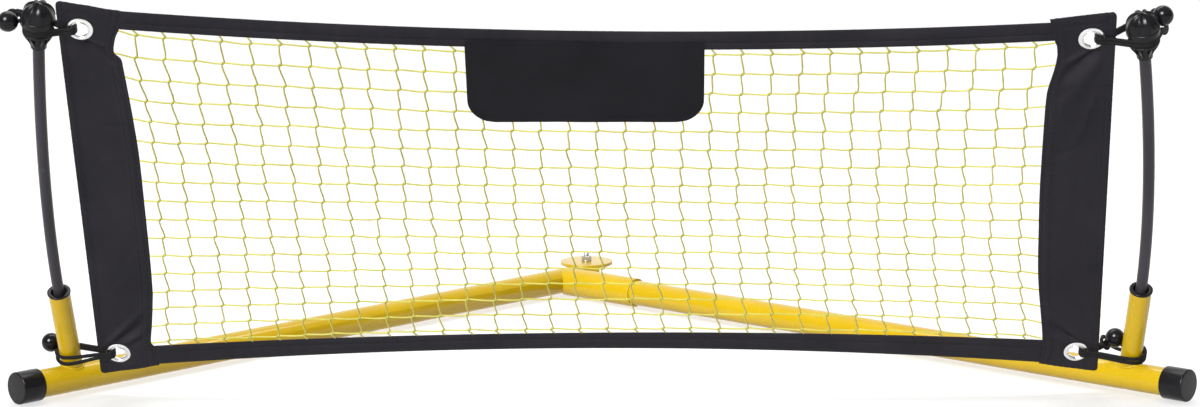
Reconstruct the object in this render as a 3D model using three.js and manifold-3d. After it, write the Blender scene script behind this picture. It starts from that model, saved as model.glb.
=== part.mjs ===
// Low ball-rebounder net on a folding V-shaped tube base. Millimetres, +Z up, the floor at z = 0.
// The origin is on the floor under the hinge stud. +X is the viewer's right, -Y is towards the ball.
import * as THREE from 'three';
import Module from 'manifold-3d';
import { mergeVertices } from 'three/addons/utils/BufferGeometryUtils.js';

const wasm = await Module();
wasm.setup();
const { Manifold, Mesh } = wasm;

// ---- driving sizes: arms and hinge ----
const armOuter = 38, armWall = 1.5, noseRadius = 20.5, rightTubeStart = 28.5;
const capOuter = 43.8, capLength = 34, capFace = 3;
const fitGap = 0.3;                 // room left wherever one made piece goes into or onto another
const armAxisHeight = capOuter / 2; // the arms are carried by their caps
const leftBearing = 225.4, rightBearing = 319.75, leftReach = 1058.5, rightReach = 1107.5;
const hingeOffset = 50;             // right arm's axis passes this far in front of the stud
const plateOuter = 82, topPlate = 5, floorPlate = 2.5, plateGap = 0.4;
const sleeveOuter = 43.8, sleeveStart = 5, sleeveEnd = 146;
const studSize = 8, nutFlats = 13, nutHeight = 6.5, washerOuter = 16, washerThick = 1.6, studTip = 4.5;
const bushOuter = 13;

// ---- driving sizes: stubs, collars, poles ----
const stubSetBack = 90, stubOuter = 28.6, stubWall = 1.5, stubRise = 125;
const leanForward = 28.4, leanOutward = 1;
const collarFlange = 31, collarFlangeThick = 3, collarDepth = 42, collarMouth = 21.4, mouthDepth = 9;
const poleSize = 15, poleLength = 535, poleDepth = 116, leftPoleRaised = 22;
const leftBend = 38, rightBend = 46, bendPower = 1.7;

// ---- driving sizes: pole tops ----
const domeSize = 40.4, ribStand = 0.8, ribThick = 2.2, rimOuter = 42, rimTop = -6, rimThick = 3;
const waistOuter = 29, waistHeight = 11.4, skirtOuter = 40, skirtThick = 2.6;
const socketOuter = 20, socketEnd = -46, gussetThick = 2.4, poleStop = -2, ribCount = 8;

// ---- driving sizes: net, border, eyelets, loops ----
const netTilt = 28.2, netSetBack = 80.1, netLift = 2.9, netShift = 0.1;
const cloth = 2, strand = 2.2, edgeStrand = 4, columns = 20, rows = 10, strandSlant = 0.24;
const bandHeight = 27;
const patchWidth = 297, patchHeight = 135.5, patchCentre = -13.5, patchCorner = 34, patchLap = 9;
const eyeletOuter = 32, eyeletHole = 16, eyeletNeck = 18.6, eyeletStand = 1.3;
const cordSize = 5, ballSize = 26, stemSize = 8, stemEnd = 24;

const rad = THREE.MathUtils.degToRad;
const v3 = (x, y, z) => new THREE.Vector3(x, y, z);
const group = new THREE.Group();
group.name = 'rebounder_net';

// ---- solid helpers ----
function toSolid(geometry) {
  const g = geometry.clone();
  g.deleteAttribute('normal');
  g.deleteAttribute('uv');
  const m = mergeVertices(g, 1e-4);
  return new Manifold(new Mesh({
    numProp: 3,
    vertProperties: new Float32Array(m.attributes.position.array),
    triVerts: new Uint32Array(m.index.array),
  }));
}

function toGeometry(solid) {
  const mesh = solid.getMesh();
  const g = new THREE.BufferGeometry();
  g.setAttribute('position', new THREE.BufferAttribute(new Float32Array(mesh.vertProperties), 3));
  g.setIndex(new THREE.BufferAttribute(new Uint32Array(mesh.triVerts), 1));
  return g;
}

function add(name, shape, colour) {
  const g = shape instanceof THREE.BufferGeometry ? shape : toGeometry(shape);
  g.deleteAttribute('uv');
  g.deleteAttribute('normal');
  const welded = mergeVertices(g, 1e-4);
  welded.computeVertexNormals();
  const mesh = new THREE.Mesh(welded, new THREE.MeshStandardMaterial({ color: colour }));
  mesh.name = name;
  group.add(mesh);
}

// A turned piece about local Z from a closed profile of [radius, height] pairs.
function turned(profile, sides) {
  const points = profile.map(([r, z]) => new THREE.Vector2(r, z));
  if (profile[0][0] > 0) points.push(points[0].clone());
  const g = new THREE.LatheGeometry(points, sides);
  g.rotateX(Math.PI / 2);
  const solid = toSolid(g);
  return solid.volume() < 0 ? toSolid(flip(g)) : solid;
}

function flip(geometry) {
  const g = geometry.clone();
  const index = g.index.array;
  for (let i = 0; i < index.length; i += 3) [index[i], index[i + 1]] = [index[i + 1], index[i]];
  return g;
}

// A round bar or pipe along local Z.
const bar = (radius, from, to, sides = 28) => turned([[0, from], [radius, from], [radius, to], [0, to]], sides);
const pipe = (outer, inner, from, to, sides = 28) =>
  turned([[inner, from], [outer, from], [outer, to], [inner, to]], sides);

// Sets local X, Y, Z of a solid along three directions, at a point.
function placed(solid, x, y, z, at) {
  const m = new THREE.Matrix4().makeBasis(x, y, z).setPosition(at);
  return solid.transform(m.elements);
}

function along(solid, direction, at, upHint = v3(0, 0, 1)) {
  const z = direction.clone().normalize();
  const x = upHint.clone().cross(z);
  if (x.length() < 1e-6) x.set(1, 0, 0);
  x.normalize();
  return placed(solid, x, z.clone().cross(x), z, at);
}

// ---- the two arms ----
const bearing = (degrees) => v3(Math.cos(rad(degrees)), Math.sin(rad(degrees)), 0);
const leftWay = bearing(leftBearing), rightWay = bearing(rightBearing);
const leftStart = v3(0, 0, armAxisHeight);
const rightSide = v3(rightWay.y, -rightWay.x, 0);
const rightStart = v3(0, 0, armAxisHeight).addScaledVector(rightSide, hingeOffset);
const armRadius = armOuter / 2;
const boreRadius = armRadius - armWall;

const leftTubeEnd = leftReach - capFace, rightTubeEnd = rightReach - capFace;

const noseKeep = bar(noseRadius, 0, 2 * armAxisHeight, 32).add(
  along(bar(armRadius + 1, 0, leftReach, 24), leftWay, leftStart));
const leftTube = along(pipe(armRadius, boreRadius, -noseRadius, leftTubeEnd, 32), leftWay, leftStart)
  .intersect(noseKeep)
  .subtract(bar(studSize / 2 + fitGap, 0, 60, 16));
add('left_arm_tube', leftTube, 0xe8b90c);
add('right_arm_tube',
  along(pipe(armRadius, boreRadius, rightTubeStart, rightTubeEnd, 32), rightWay, rightStart), 0xe8b90c);

// ---- hinge: sleeve coped round the left tube, welded between two round plates ----
const copeCutter = along(bar(armRadius + plateGap, -10, 120, 32), leftWay, leftStart);
const sleeve = along(
  pipe(sleeveOuter / 2, armRadius + fitGap, sleeveStart, sleeveEnd, 32), rightWay, rightStart);
const plateFloor = armAxisHeight + armRadius + plateGap;
const insideSleeve = along(
  bar(armRadius + fitGap, sleeveStart, sleeveEnd + 1, 32), rightWay, rightStart);
const bracket = sleeve.add(bar(plateOuter / 2, plateFloor, plateFloor + topPlate, 40))
  .add(bar(plateOuter / 2, 0, floorPlate, 40))
  .subtract(copeCutter)
  .subtract(insideSleeve)
  .subtract(bar(studSize / 2 + fitGap, plateFloor - 1, plateFloor + topPlate + 1, 16));
add('hinge_bracket', bracket, 0xe8b90c);

const washerFloor = plateFloor + topPlate;
const nutFloor = washerFloor + washerThick;
const studTop = nutFloor + nutHeight + studTip;
add('pivot_stud', turned([[0, floorPlate], [studSize / 2, floorPlate], [studSize / 2, studTop - 1],
  [studSize / 2 - 1, studTop], [0, studTop]], 16), 0xb8babd);
add('pivot_washer', pipe(washerOuter / 2, studSize / 2 + fitGap, washerFloor, nutFloor, 20), 0xb8babd);
const nutCorner = nutFlats / Math.sqrt(3);
const nutCone = turned([[0, nutFloor], [nutCorner + 0.1, nutFloor], [nutCorner + 0.1, nutFloor + nutHeight - 1],
  [nutFlats / 2 - 0.3, nutFloor + nutHeight], [0, nutFloor + nutHeight]], 24);
add('pivot_nut', bar(nutCorner, nutFloor, nutFloor + nutHeight, 6).intersect(nutCone)
  .subtract(bar(studSize / 2 + fitGap, nutFloor - 1, nutFloor + nutHeight + 1, 16)), 0xb8babd);
const bushHalf = Math.sqrt(boreRadius ** 2 - (bushOuter / 2) ** 2) - fitGap;
add('pivot_bush', pipe(bushOuter / 2, studSize / 2 + fitGap,
  armAxisHeight - bushHalf, armAxisHeight + bushHalf, 16), 0x9a9c9f);

// ---- end caps ----
function endCap(reach) {
  const r = capOuter / 2, inner = armRadius + fitGap, mouth = reach - capLength;
  return turned([[0, reach], [r - 2, reach], [r - 0.6, reach - 0.6], [r, reach - 2], [r, mouth + 0.8],
    [r - 0.8, mouth], [inner, mouth], [inner, reach - capFace], [0, reach - capFace]], 26);
}
add('left_end_cap', along(endCap(leftReach), leftWay, leftStart), 0x1b1b1d);
add('right_end_cap', along(endCap(rightReach), rightWay, rightStart), 0x1b1b1d);

// ---- one corner's stub, collar, pole and pole top ----
function poleTop() {
  const dome = domeSize / 2, low = rimTop - rimThick, waistLow = low - waistHeight;
  const arc = [];
  for (let k = 0; k <= 6; k++) {
    const a = Math.PI / 2 - (k / 6) * (Math.PI / 2 + Math.asin(-rimTop / dome));
    arc.push([k === 0 ? 0 : dome * Math.cos(a), dome * Math.sin(a)]);
  }
  const bore = poleSize / 2 + fitGap;
  const body = turned([...arc, [rimOuter / 2, rimTop - 0.8], [rimOuter / 2, low], [waistOuter / 2, low - 0.6],
    [waistOuter / 2, waistLow + 0.6], [skirtOuter / 2, waistLow], [skirtOuter / 2, waistLow - skirtThick],
    [socketOuter / 2 + 1.5, waistLow - skirtThick - 2], [socketOuter / 2, socketEnd],
    [bore, socketEnd], [bore, poleStop], [0, poleStop]], 18);
  let ribs = null, gussets = null;
  const ribDisc = bar(dome + ribStand, -ribThick / 2, ribThick / 2, 18)
    .subtract(bar(dome - 4, -ribThick, ribThick, 12));
  const halfSpace = Manifold.cube([120, 120, 60], true).translate([0, 0, 30 + rimTop - 0.4]);
  const reachOut = skirtOuter / 2 - 0.8, top = waistLow - skirtThick + 0.2;
  const web = new THREE.Shape([new THREE.Vector2(bore + 0.9, top), new THREE.Vector2(bore + 0.9, socketEnd + 3),
    new THREE.Vector2(socketOuter / 2 + 0.6, socketEnd + 3), new THREE.Vector2(reachOut, top - 3.4),
    new THREE.Vector2(reachOut, top)]);
  const webPlate = new THREE.ExtrudeGeometry(web, { depth: gussetThick, bevelEnabled: false });
  webPlate.translate(0, 0, -gussetThick / 2);
  webPlate.rotateX(Math.PI / 2);
  for (let k = 0; k < ribCount; k++) {
    const turn = (360 / ribCount) * k + 22.5;
    const gusset = toSolid(webPlate).rotate([0, 0, turn]);
    gussets = gussets ? gussets.add(gusset) : gusset;
    if (k < ribCount / 2) {
      const rib = ribDisc.rotate([90, 0, turn]).intersect(halfSpace);
      ribs = ribs ? ribs.add(rib) : rib;
    }
  }
  return body.add(ribs).add(gussets);
}

// The net runs from one arm's end to the other's; its own directions are across, towards the ball, and up.
const leftEnd = leftStart.clone().addScaledVector(leftWay, leftReach);
const rightEnd = rightStart.clone().addScaledVector(rightWay, rightReach);
const halfSpan = leftEnd.distanceTo(rightEnd) / 2;
const across = rightEnd.clone().sub(leftEnd).normalize();
const upright = v3(0, 0, 1);
const toBall = across.clone().cross(upright);

const leanOf = (side) => across.clone()
  .multiplyScalar(side * Math.sin(rad(leanOutward)) * Math.cos(rad(leanForward)))
  .addScaledVector(toBall, Math.sin(rad(leanForward)))
  .addScaledVector(upright, Math.cos(rad(leanOutward)) * Math.cos(rad(leanForward)));

function corner(side, start, way, reach, bend, raised) {
  const name = side < 0 ? 'left' : 'right';
  const up = leanOf(side);
  const foot = start.clone().addScaledVector(way, reach - stubSetBack).add(v3(0, 0, armRadius));
  const inward = across.clone().multiplyScalar(-side);
  inward.addScaledVector(up, -inward.dot(up)).normalize();
  const front = side < 0 ? inward.clone().cross(up) : up.clone().cross(inward);
  const fishMouth = along(bar(armRadius + fitGap, reach - 300, reach, 32), way, start);
  const stubBore = stubOuter / 2 - stubWall;
  const belowFoot = 34;
  const stub = along(pipe(stubOuter / 2, stubBore, -belowFoot, stubRise, 24), up, foot)
    .subtract(fishMouth).decompose().sort((a, b) => b.volume() - a.volume())[0];
  add(`${name}_stub`, stub, 0xe8b90c);

  const mouth = foot.clone().addScaledVector(up, stubRise + collarFlangeThick);
  const bore = poleSize / 2 + fitGap, body = stubBore - fitGap, flange = collarFlange / 2;
  const collar = turned([[collarMouth / 2, 0], [flange - 1.2, 0], [flange, -1.2], [flange, -collarFlangeThick],
    [body, -collarFlangeThick], [body, -collarDepth], [bore, -collarDepth], [bore, -mouthDepth]], 20);
  add(`${name}_collar`, along(collar, up, mouth), 0x161617);

  const free = poleLength - poleDepth + raised, held = poleDepth - raised;
  const straight = free + socketEnd - 6;
  const bendTo = bend / ((straight / free) ** bendPower * (1 + (bendPower * (free - straight)) / straight));
  const bowed = (h) => bendTo * (h / free) ** bendPower;
  const slope = (bendPower * bowed(straight)) / straight;
  const poleAt = (h) => mouth.clone().addScaledVector(up, h)
    .addScaledVector(inward, h < 0 ? 0 : h < straight ? bowed(h) : bowed(straight) + slope * (h - straight));
  const stations = [poleAt(-held), poleAt(-6), poleAt(0)];
  for (let k = 1; k <= 11; k++) stations.push(poleAt((straight * k) / 11));
  const domeCentre = poleAt(free);
  const tipWay = domeCentre.clone().sub(poleAt(straight)).normalize();
  stations.push(domeCentre.clone().addScaledVector(tipWay, socketEnd + 2));
  stations.push(domeCentre.clone().addScaledVector(tipWay, poleStop));
  add(`${name}_pole`, sweep(stations, poleSize / 2, 14, 1), 0x3a3b3e);
  const square = inward.clone().addScaledVector(tipWay, -inward.dot(tipWay)).normalize();
  add(`${name}_pole_top`, placed(poleTop(), square, tipWay.clone().cross(square), tipWay, domeCentre),
    0x18181a);
  return { up, foot, inward, front, mouth, domeCentre, tipWay, poleAt };
}

// A round bar swept along a route; its stations are kept, so they sit closer together in tight bends.
class Route extends THREE.CatmullRomCurve3 {
  getPointAt(t, target) { return this.getPoint(t, target); }
  getTangentAt(t, target) { return this.getTangent(t, target); }
}

function sweep(points, radius, sides, perSpan) {
  const curve = new Route(points, false, 'centripetal');
  const ring = [];
  for (let k = 0; k < sides; k++) {
    const a = (2 * Math.PI * k) / sides;
    ring.push(new THREE.Vector2(radius * Math.cos(a), radius * Math.sin(a)));
  }
  const g = new THREE.ExtrudeGeometry(new THREE.Shape(ring), {
    steps: (points.length - 1) * perSpan, extrudePath: curve, bevelEnabled: false,
  });
  const solid = toSolid(g);
  return solid.volume() < 0 ? toSolid(flip(mergeVertices(g))) : solid;
}

const leftCorner = corner(-1, leftStart, leftWay, leftReach, leftBend, leftPoleRaised);
const rightCorner = corner(1, rightStart, rightWay, rightReach, rightBend, 0);

// ---- the net's plane: across, up the slope, and towards the ball ----
const planeUp = toBall.clone().multiplyScalar(Math.sin(rad(netTilt)))
  .addScaledVector(upright, Math.cos(rad(netTilt)));
const planeFront = toBall.clone().multiplyScalar(Math.cos(rad(netTilt)))
  .addScaledVector(upright, -Math.sin(rad(netTilt)));
const planeOrigin = leftEnd.clone().add(rightEnd).multiplyScalar(0.5).setZ(netLift)
  .addScaledVector(across, netShift).addScaledVector(toBall, -netSetBack);
const planeMatrix = new THREE.Matrix4().makeBasis(across, planeUp, planeFront)
  .setPosition(planeOrigin);
const onPlane = (u, v, d = 0) => planeOrigin.clone().addScaledVector(across, u)
  .addScaledVector(planeUp, v).addScaledVector(planeFront, d);

// The upper eyelets are level with the pole tops' waists, and the lower ones stay near the stubs' feet.
const waistMiddle = rimTop - rimThick - waistHeight / 2;
const waistAt = (c) => c.domeCentre.clone().addScaledVector(c.tipWay, waistMiddle);
const waistLevel = (c) => waistAt(c).sub(planeOrigin).dot(planeUp);
const eyelets = {
  top_left: [-halfSpan + 142.1, waistLevel(leftCorner) - 3],
  top_right: [halfSpan - 167.1, waistLevel(rightCorner) - 5.2],
  bottom_left: [-halfSpan + 129.1, 64],
  bottom_right: [halfSpan - 143.1, 62],
};

const bow = (u, middle, centre, stretch) => middle + stretch * (u - centre) ** 2;
const topMiddle = (eyelets.top_left[1] + eyelets.top_right[1]) / 2 + 2.1;
const topEdge = (u) => bow(u, topMiddle, 150, 6.38e-5);
const topInner = (u) => topEdge(u) - bandHeight;
const bottomInner = (u) => bow(u, 97, 45, -5.1e-5);
const bottomEdge = (u) => bow(u, 70, -10, -7.5e-5);

// A panel's inner edge: how far in from the arm's end, and how high, as a share of the way
// from its lower eyelet to its upper one.
const leftInner = [[186.1, -0.0643], [178.1, 0.034], [180.1, 0.0964], [188.1, 0.2382], [193.1, 0.5028],
  [193.1, 0.7297], [190.1, 0.8998], [185.1, 0.949], [192.1, 0.9981], [201.1, 1.0548]];
const rightInner = [[200.1, -0.0667], [192.1, 0.0392], [202.1, 0.1726], [207.1, 0.3256], [213.1, 0.5394],
  [217.1, 0.7219], [217.1, 0.8435], [211.1, 0.9082], [212.1, 0.9533], [216.1, 0.9965], [221.1, 1.0671]];

function edgeCurve(points, side, lower, upper) {
  return new THREE.SplineCurve(points.map(([inset, share]) =>
    new THREE.Vector2(side * (halfSpan - inset), THREE.MathUtils.lerp(lower[1], upper[1], share))));
}

const leftCurve = edgeCurve(leftInner, -1, eyelets.bottom_left, eyelets.top_left);
const rightCurve = edgeCurve(rightInner, 1, eyelets.bottom_right, eyelets.top_right);

// The across position of a curve at a height.
function acrossAt(curve, height) {
  let low = 0, high = 1;
  for (let k = 0; k < 40; k++) {
    const middle = (low + high) / 2;
    if (curve.getPoint(middle).y < height) low = middle; else high = middle;
  }
  return curve.getPoint((low + high) / 2).x;
}

// A plate of cloth in the net's plane, between two depths.
function sheetOf(points, holes, back, front) {
  const outline = points.map(([u, v]) => new THREE.Vector2(u, v));
  if (THREE.ShapeUtils.area(outline) < 0) outline.reverse();
  const shape = new THREE.Shape(outline);
  holes.forEach((hole) => shape.holes.push(new THREE.Path(hole.map(([u, v]) => new THREE.Vector2(u, v)))));
  const g = new THREE.ExtrudeGeometry(shape, { depth: front - back, bevelEnabled: false });
  g.translate(0, 0, back);
  g.applyMatrix4(planeMatrix);
  return g;
}

const circle = (u, v, radius, sides) => Array.from({ length: sides }, (_, k) => {
  const a = (-2 * Math.PI * k) / sides;
  return [u + radius * Math.cos(a), v + radius * Math.sin(a)];
});

const seamGap = 0.3, netGap = 0.95;
const panelSteps = 40;
// The outer edge is given by its distance in from the arm's end, low down and high up; each end of a panel
// is given by how far it runs past its eyelet, at the inner edge and at the outer edge.
function panel(curve, side, lowInset, highInset, low, high) {
  const outerLow = side * (halfSpan - lowInset), outerHigh = side * (halfSpan - highInset);
  const inner = [];
  for (let k = 0; k <= panelSteps; k++) {
    const v = THREE.MathUtils.lerp(low.inner, high.inner, k / panelSteps);
    inner.push([acrossAt(curve, v), v]);
  }
  return [...inner, [outerHigh - side * 6, high.outer], [outerHigh, high.outer - 6],
    [outerLow, low.outer + 5], [outerLow - side * 5, low.outer]];
}
const past = ([, v], inner, outer) => ({ inner: v + inner, outer: v + outer });
const bored = ([u, v]) => circle(u, v, eyeletNeck / 2 + 0.2, 20);
const halfCloth = cloth / 2;
const leftOutline = panel(leftCurve, -1, 101.1, 116.1, past(eyelets.bottom_left, -22, -37),
  past(eyelets.top_left, 25, 42));
const rightOutline = panel(rightCurve, 1, 111.1, 139.1, past(eyelets.bottom_right, -21, -35),
  past(eyelets.top_right, 28.2, 39.2));
add('left_panel', toUpright(sheetOf(leftOutline, [bored(eyelets.top_left), bored(eyelets.bottom_left)],
  -halfCloth, halfCloth)), 0x222326);
add('right_panel', toUpright(sheetOf(rightOutline, [bored(eyelets.top_right), bored(eyelets.bottom_right)],
  -halfCloth, halfCloth)), 0x222326);

// Makes sure that a plate faces outwards.
function toUpright(g) {
  const solid = toSolid(g);
  return solid.volume() < 0 ? toSolid(flip(mergeVertices(g))) : solid;
}

// ---- top and bottom bands, sewn between the panels ----
function band(upper, lower) {
  const points = [], steps = 26;
  const ends = (edge, curve) => {
    let u = (curve === leftCurve ? -1 : 1) * halfSpan;
    for (let k = 0; k < 20; k++) u = acrossAt(curve, edge(u));
    return u;
  };
  for (const [edge, from, to, way] of [[lower, leftCurve, rightCurve, 1], [upper, rightCurve, leftCurve, -1]]) {
    const start = ends(edge, from) + way * seamGap, end = ends(edge, to) - way * seamGap;
    for (let k = 0; k <= steps; k++) {
      const u = THREE.MathUtils.lerp(start, end, k / steps);
      points.push([u, edge(u)]);
    }
  }
  return points;
}
add('top_band', toUpright(sheetOf(band(topEdge, topInner), [], -halfCloth, halfCloth)), 0x222326);
add('bottom_band', toUpright(sheetOf(band(bottomInner, bottomEdge), [], -halfCloth, halfCloth)), 0x222326);

// ---- the net: a grid of strands that follows the drawn-in border ----
const netLow = (u) => bottomInner(u) + seamGap, netHigh = (u) => topInner(u) - seamGap;
function gridPoint(s, t) {
  const slid = s + strandSlant * s * (1 - s) * (0.5 - t);
  let u = THREE.MathUtils.lerp(-halfSpan, halfSpan, slid), v = 0;
  for (let k = 0; k < 12; k++) {
    v = THREE.MathUtils.lerp(netLow(u), netHigh(u), t);
    u = THREE.MathUtils.lerp(acrossAt(leftCurve, v) + netGap, acrossAt(rightCurve, v) - netGap, slid);
  }
  return [u, v];
}
function netSheet() {
  const grid = [];
  for (let j = 0; j <= rows; j++) {
    grid.push(Array.from({ length: columns + 1 }, (_, i) => gridPoint(i / columns, j / rows)));
  }
  const outline = [];
  const fine = rows * 4;
  for (let i = 0; i < columns; i++) outline.push(grid[0][i]);
  for (let j = 0; j < fine; j++) outline.push(gridPoint(1, j / fine));
  for (let i = columns; i > 0; i--) outline.push(grid[rows][i]);
  for (let j = fine; j > 0; j--) outline.push(gridPoint(0, j / fine));
  const holes = [];
  for (let j = 0; j < rows; j++) {
    for (let i = 0; i < columns; i++) {
      const side = (k, n, low) => (k === (low ? 0 : n - 1) ? edgeStrand : strand / 2);
      const a = grid[j][i], b = grid[j][i + 1], c = grid[j + 1][i + 1], d = grid[j + 1][i];
      const l = side(i, columns, true), r = side(i, columns, false);
      const lo = side(j, rows, true), hi = side(j, rows, false);
      holes.push([[a[0] + l, a[1] + lo], [d[0] + l, d[1] - hi], [c[0] - r, c[1] - hi], [b[0] - r, b[1] + lo]]);
    }
  }
  return sheetOf(outline, holes, -strand / 2, strand / 2);
}
add('net_mesh', toUpright(netSheet()), 0xe6d95a);

// ---- the patch that hangs from the top band over the net ----
function patchOutline() {
  const low = topMiddle - patchHeight, radius = patchCorner, points = [];
  const left = patchCentre - patchWidth / 2, right = patchCentre + patchWidth / 2;
  for (let k = 0; k <= 7; k++) {
    const a = rad(180 + (90 * k) / 7);
    points.push([left + radius + radius * Math.cos(a), low + radius + radius * Math.sin(a)]);
  }
  for (let k = 0; k <= 7; k++) {
    const a = rad(270 + (90 * k) / 7);
    points.push([right - radius + radius * Math.cos(a), low + radius + radius * Math.sin(a)]);
  }
  for (let k = 0; k <= 8; k++) {
    const u = THREE.MathUtils.lerp(right, left, k / 8);
    points.push([u, topInner(u) + patchLap]);
  }
  return points;
}
const patchBack = strand / 2 + 0.2;
add('centre_patch', toUpright(sheetOf(patchOutline(), [], patchBack, patchBack + 1.8)), 0x1d1e20);

// ---- eyelets, ball ends and stretch loops ----
const eyeletFlat = halfCloth + 0.15, eyeletTop = eyeletFlat + eyeletStand;
const eyelet = turned([[eyeletHole / 2, -eyeletTop + 0.9], [eyeletHole / 2 + 1.6, -eyeletTop],
  [eyeletOuter / 2 - 2, -eyeletTop], [eyeletOuter / 2, -eyeletFlat], [eyeletNeck / 2, -eyeletFlat],
  [eyeletNeck / 2, eyeletFlat], [eyeletOuter / 2, eyeletFlat], [eyeletOuter / 2 - 2, eyeletTop],
  [eyeletHole / 2 + 1.6, eyeletTop], [eyeletHole / 2, eyeletTop - 0.9]], 16);

function ballEnd() {
  const r = ballSize / 2, stem = stemSize / 2, join = Math.acos(stem / r);
  const arc = [];
  for (let k = 0; k <= 7; k++) {
    const a = -Math.PI / 2 + (k / 7) * (join + Math.PI / 2);
    arc.push([k === 0 ? 0 : r * Math.cos(a), r * Math.sin(a)]);
  }
  return turned([...arc, [stem, stemEnd - 4], [stem + 0.9, stemEnd - 2.4], [stem + 0.9, stemEnd],
    [0, stemEnd]], 14);
}

// One corner: the post's centre, its three directions, its radius and where the ball end sits.
function loop(name, corner, centre, up, postRadius, ball, stemAim, wraps) {
  const [eu, ev] = eyelets[name];
  const eye = onPlane(eu, ev);
  add(`eyelet_${name}`, placed(eyelet, across, planeUp, planeFront, eye), 0xd4d6d9);

  const inwardHere = corner.inward.clone().addScaledVector(up, -corner.inward.dot(up)).normalize();
  const local = (w, d, a) => centre.clone().addScaledVector(inwardHere, w)
    .addScaledVector(corner.front, d).addScaledVector(up, a);
  const ballAt = local(...ball);
  const stemWay = local(...stemAim).sub(ballAt).normalize();
  add(`ball_${name}`, along(ballEnd(), stemWay, ballAt, up), 0x141416);

  const half = cordSize / 2 + 0.12, ring = postRadius + cordSize / 2 + 0.9;
  const outward = Math.sign(centre.clone().sub(eye).dot(across));
  const hole = outward * (eyeletHole / 2 - cordSize / 2 - 1.1);
  const atEye = (du, lift, d) => onPlane(eu + du, ev + lift, d);
  const round = (degrees, a, extra = 0) => local((ring + extra) * Math.cos(rad(degrees)),
    (ring + extra) * Math.sin(rad(degrees)), a);
  const lifted = up.clone().addScaledVector(stemWay, -up.dot(stemWay)).normalize();
  const third = stemWay.clone().cross(up).normalize();
  const aroundStem = (a, k) => ballAt.clone().addScaledVector(stemWay, ballSize / 2 + cordSize / 2 + 1.5)
    .addScaledVector(lifted, a).addScaledVector(third, k);
  const stemTip = ballAt.clone().addScaledVector(stemWay, stemEnd + 0.15);
  const hook = stemSize / 2 + cordSize / 2 + 0.8;

  const strandRoute = (e) => {
    const route = [stemTip.clone().addScaledVector(lifted, e * half),
      stemTip.clone().addScaledVector(stemWay, 3).addScaledVector(lifted, e * half)];
    wraps.back.forEach(([degrees, a, spread = 1, out = 0]) =>
      route.push(round(degrees, a + e * half * spread, out)));
    route.push(atEye(outward * 22, e * half, -6.4), atEye(hole + outward * 3.4, e * half, -6.3),
      atEye(hole + outward * 0.6, e * half, -4.2), atEye(hole, e * half, 0),
      atEye(hole + outward * 0.6, e * half, 4.2),
      atEye(hole + outward * 3.4, e * half, 6.3), atEye(outward * 22, e * half, 6.4));
    wraps.front.forEach(([degrees, a, spread = 1, out = 0]) =>
      route.push(round(degrees, a + e * half * spread, out)));
    route.push(aroundStem(e * 0.5 * hook, 1.5 * hook), aroundStem(e * 0.8 * hook, 0.75 * hook),
      aroundStem(e * hook, 0), aroundStem(e * 0.72 * hook, -0.72 * hook));
    return route;
  };
  const first = strandRoute(1), second = strandRoute(-1).reverse();
  const turn = aroundStem(0, -hook);
  const cord = sweep([...first, turn, ...second], cordSize / 2, 6, 2);
  add(`loop_${name}`, cord, 0x1a1a1c);
}

const onStub = (c, rise) => c.foot.clone().addScaledVector(c.up, rise);
loop('top_left', leftCorner, waistAt(leftCorner), leftCorner.tipWay, waistOuter / 2,
  [-37, 3, 5], [-31, -20, 1.4],
  { back: [[262, 0], [290, 0]], front: [[90, 0], [120, 0], [150, 0], [180, 0], [199, 0, 1.07, 4.8]] });
loop('top_right', rightCorner, waistAt(rightCorner), rightCorner.tipWay, waistOuter / 2,
  [-27.4, -21.8, 11], [-16.6, -39.8, -0.5],
  { back: [[270, 2.5, 1, 14]],
    front: [[90, 0], [127, 0], [165, 0], [196, -1, 1.07, 5.6], [209, -7.6, 1.2, 14.5],
      [221, -8, 1.5, 24]] });
loop('bottom_left', leftCorner, onStub(leftCorner, 20), leftCorner.up, stubOuter / 2,
  [-28.5, -20, 1.5], [-11.1, -30.8, -11.3],
  { back: [], front: [[85, 0.5, 2.1], [120, 0, 2.1], [150, 0, 2], [180, -1, 1.6], [208, -4, 1.3],
    [230, -6.5, 1.2, 1.5]] });
loop('bottom_right', rightCorner, onStub(rightCorner, 19), rightCorner.up, stubOuter / 2,
  [20.7, -20.2, 6.5], [38, -22.1, -10.1],
  { back: [], front: [[85, -2, 1.3], [123, -3, 1.4], [162, -3, 1.4], [201, -2, 1.2],
    [238, -4, 1.15], [268, -8, 1.1, 0.6], [290, -13, 1.6, 6], [306, -11.5, 2, 21]] });

export default group;
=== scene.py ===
import math
import random

import bmesh
import bpy
import numpy as np
from mathutils import Matrix, Vector


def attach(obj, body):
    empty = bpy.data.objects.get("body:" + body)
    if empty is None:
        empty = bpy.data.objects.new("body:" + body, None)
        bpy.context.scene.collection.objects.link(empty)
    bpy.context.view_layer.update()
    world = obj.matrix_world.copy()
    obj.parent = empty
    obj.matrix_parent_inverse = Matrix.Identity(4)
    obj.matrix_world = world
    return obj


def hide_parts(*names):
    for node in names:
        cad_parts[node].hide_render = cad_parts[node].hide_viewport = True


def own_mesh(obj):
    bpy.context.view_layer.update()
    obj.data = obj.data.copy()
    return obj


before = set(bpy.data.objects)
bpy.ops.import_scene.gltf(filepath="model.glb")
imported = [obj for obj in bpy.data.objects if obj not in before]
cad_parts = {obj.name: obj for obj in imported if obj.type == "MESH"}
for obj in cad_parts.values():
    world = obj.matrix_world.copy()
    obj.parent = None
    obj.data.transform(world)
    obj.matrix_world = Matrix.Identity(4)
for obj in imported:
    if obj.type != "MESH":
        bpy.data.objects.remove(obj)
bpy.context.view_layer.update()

random.seed(11)
mm = 0.001
upZ = Vector((0, 0, 1))
rad = math.radians


def linked(name, data):
    obj = bpy.data.objects.new(name, data)
    bpy.context.scene.collection.objects.link(obj)
    return obj


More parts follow.
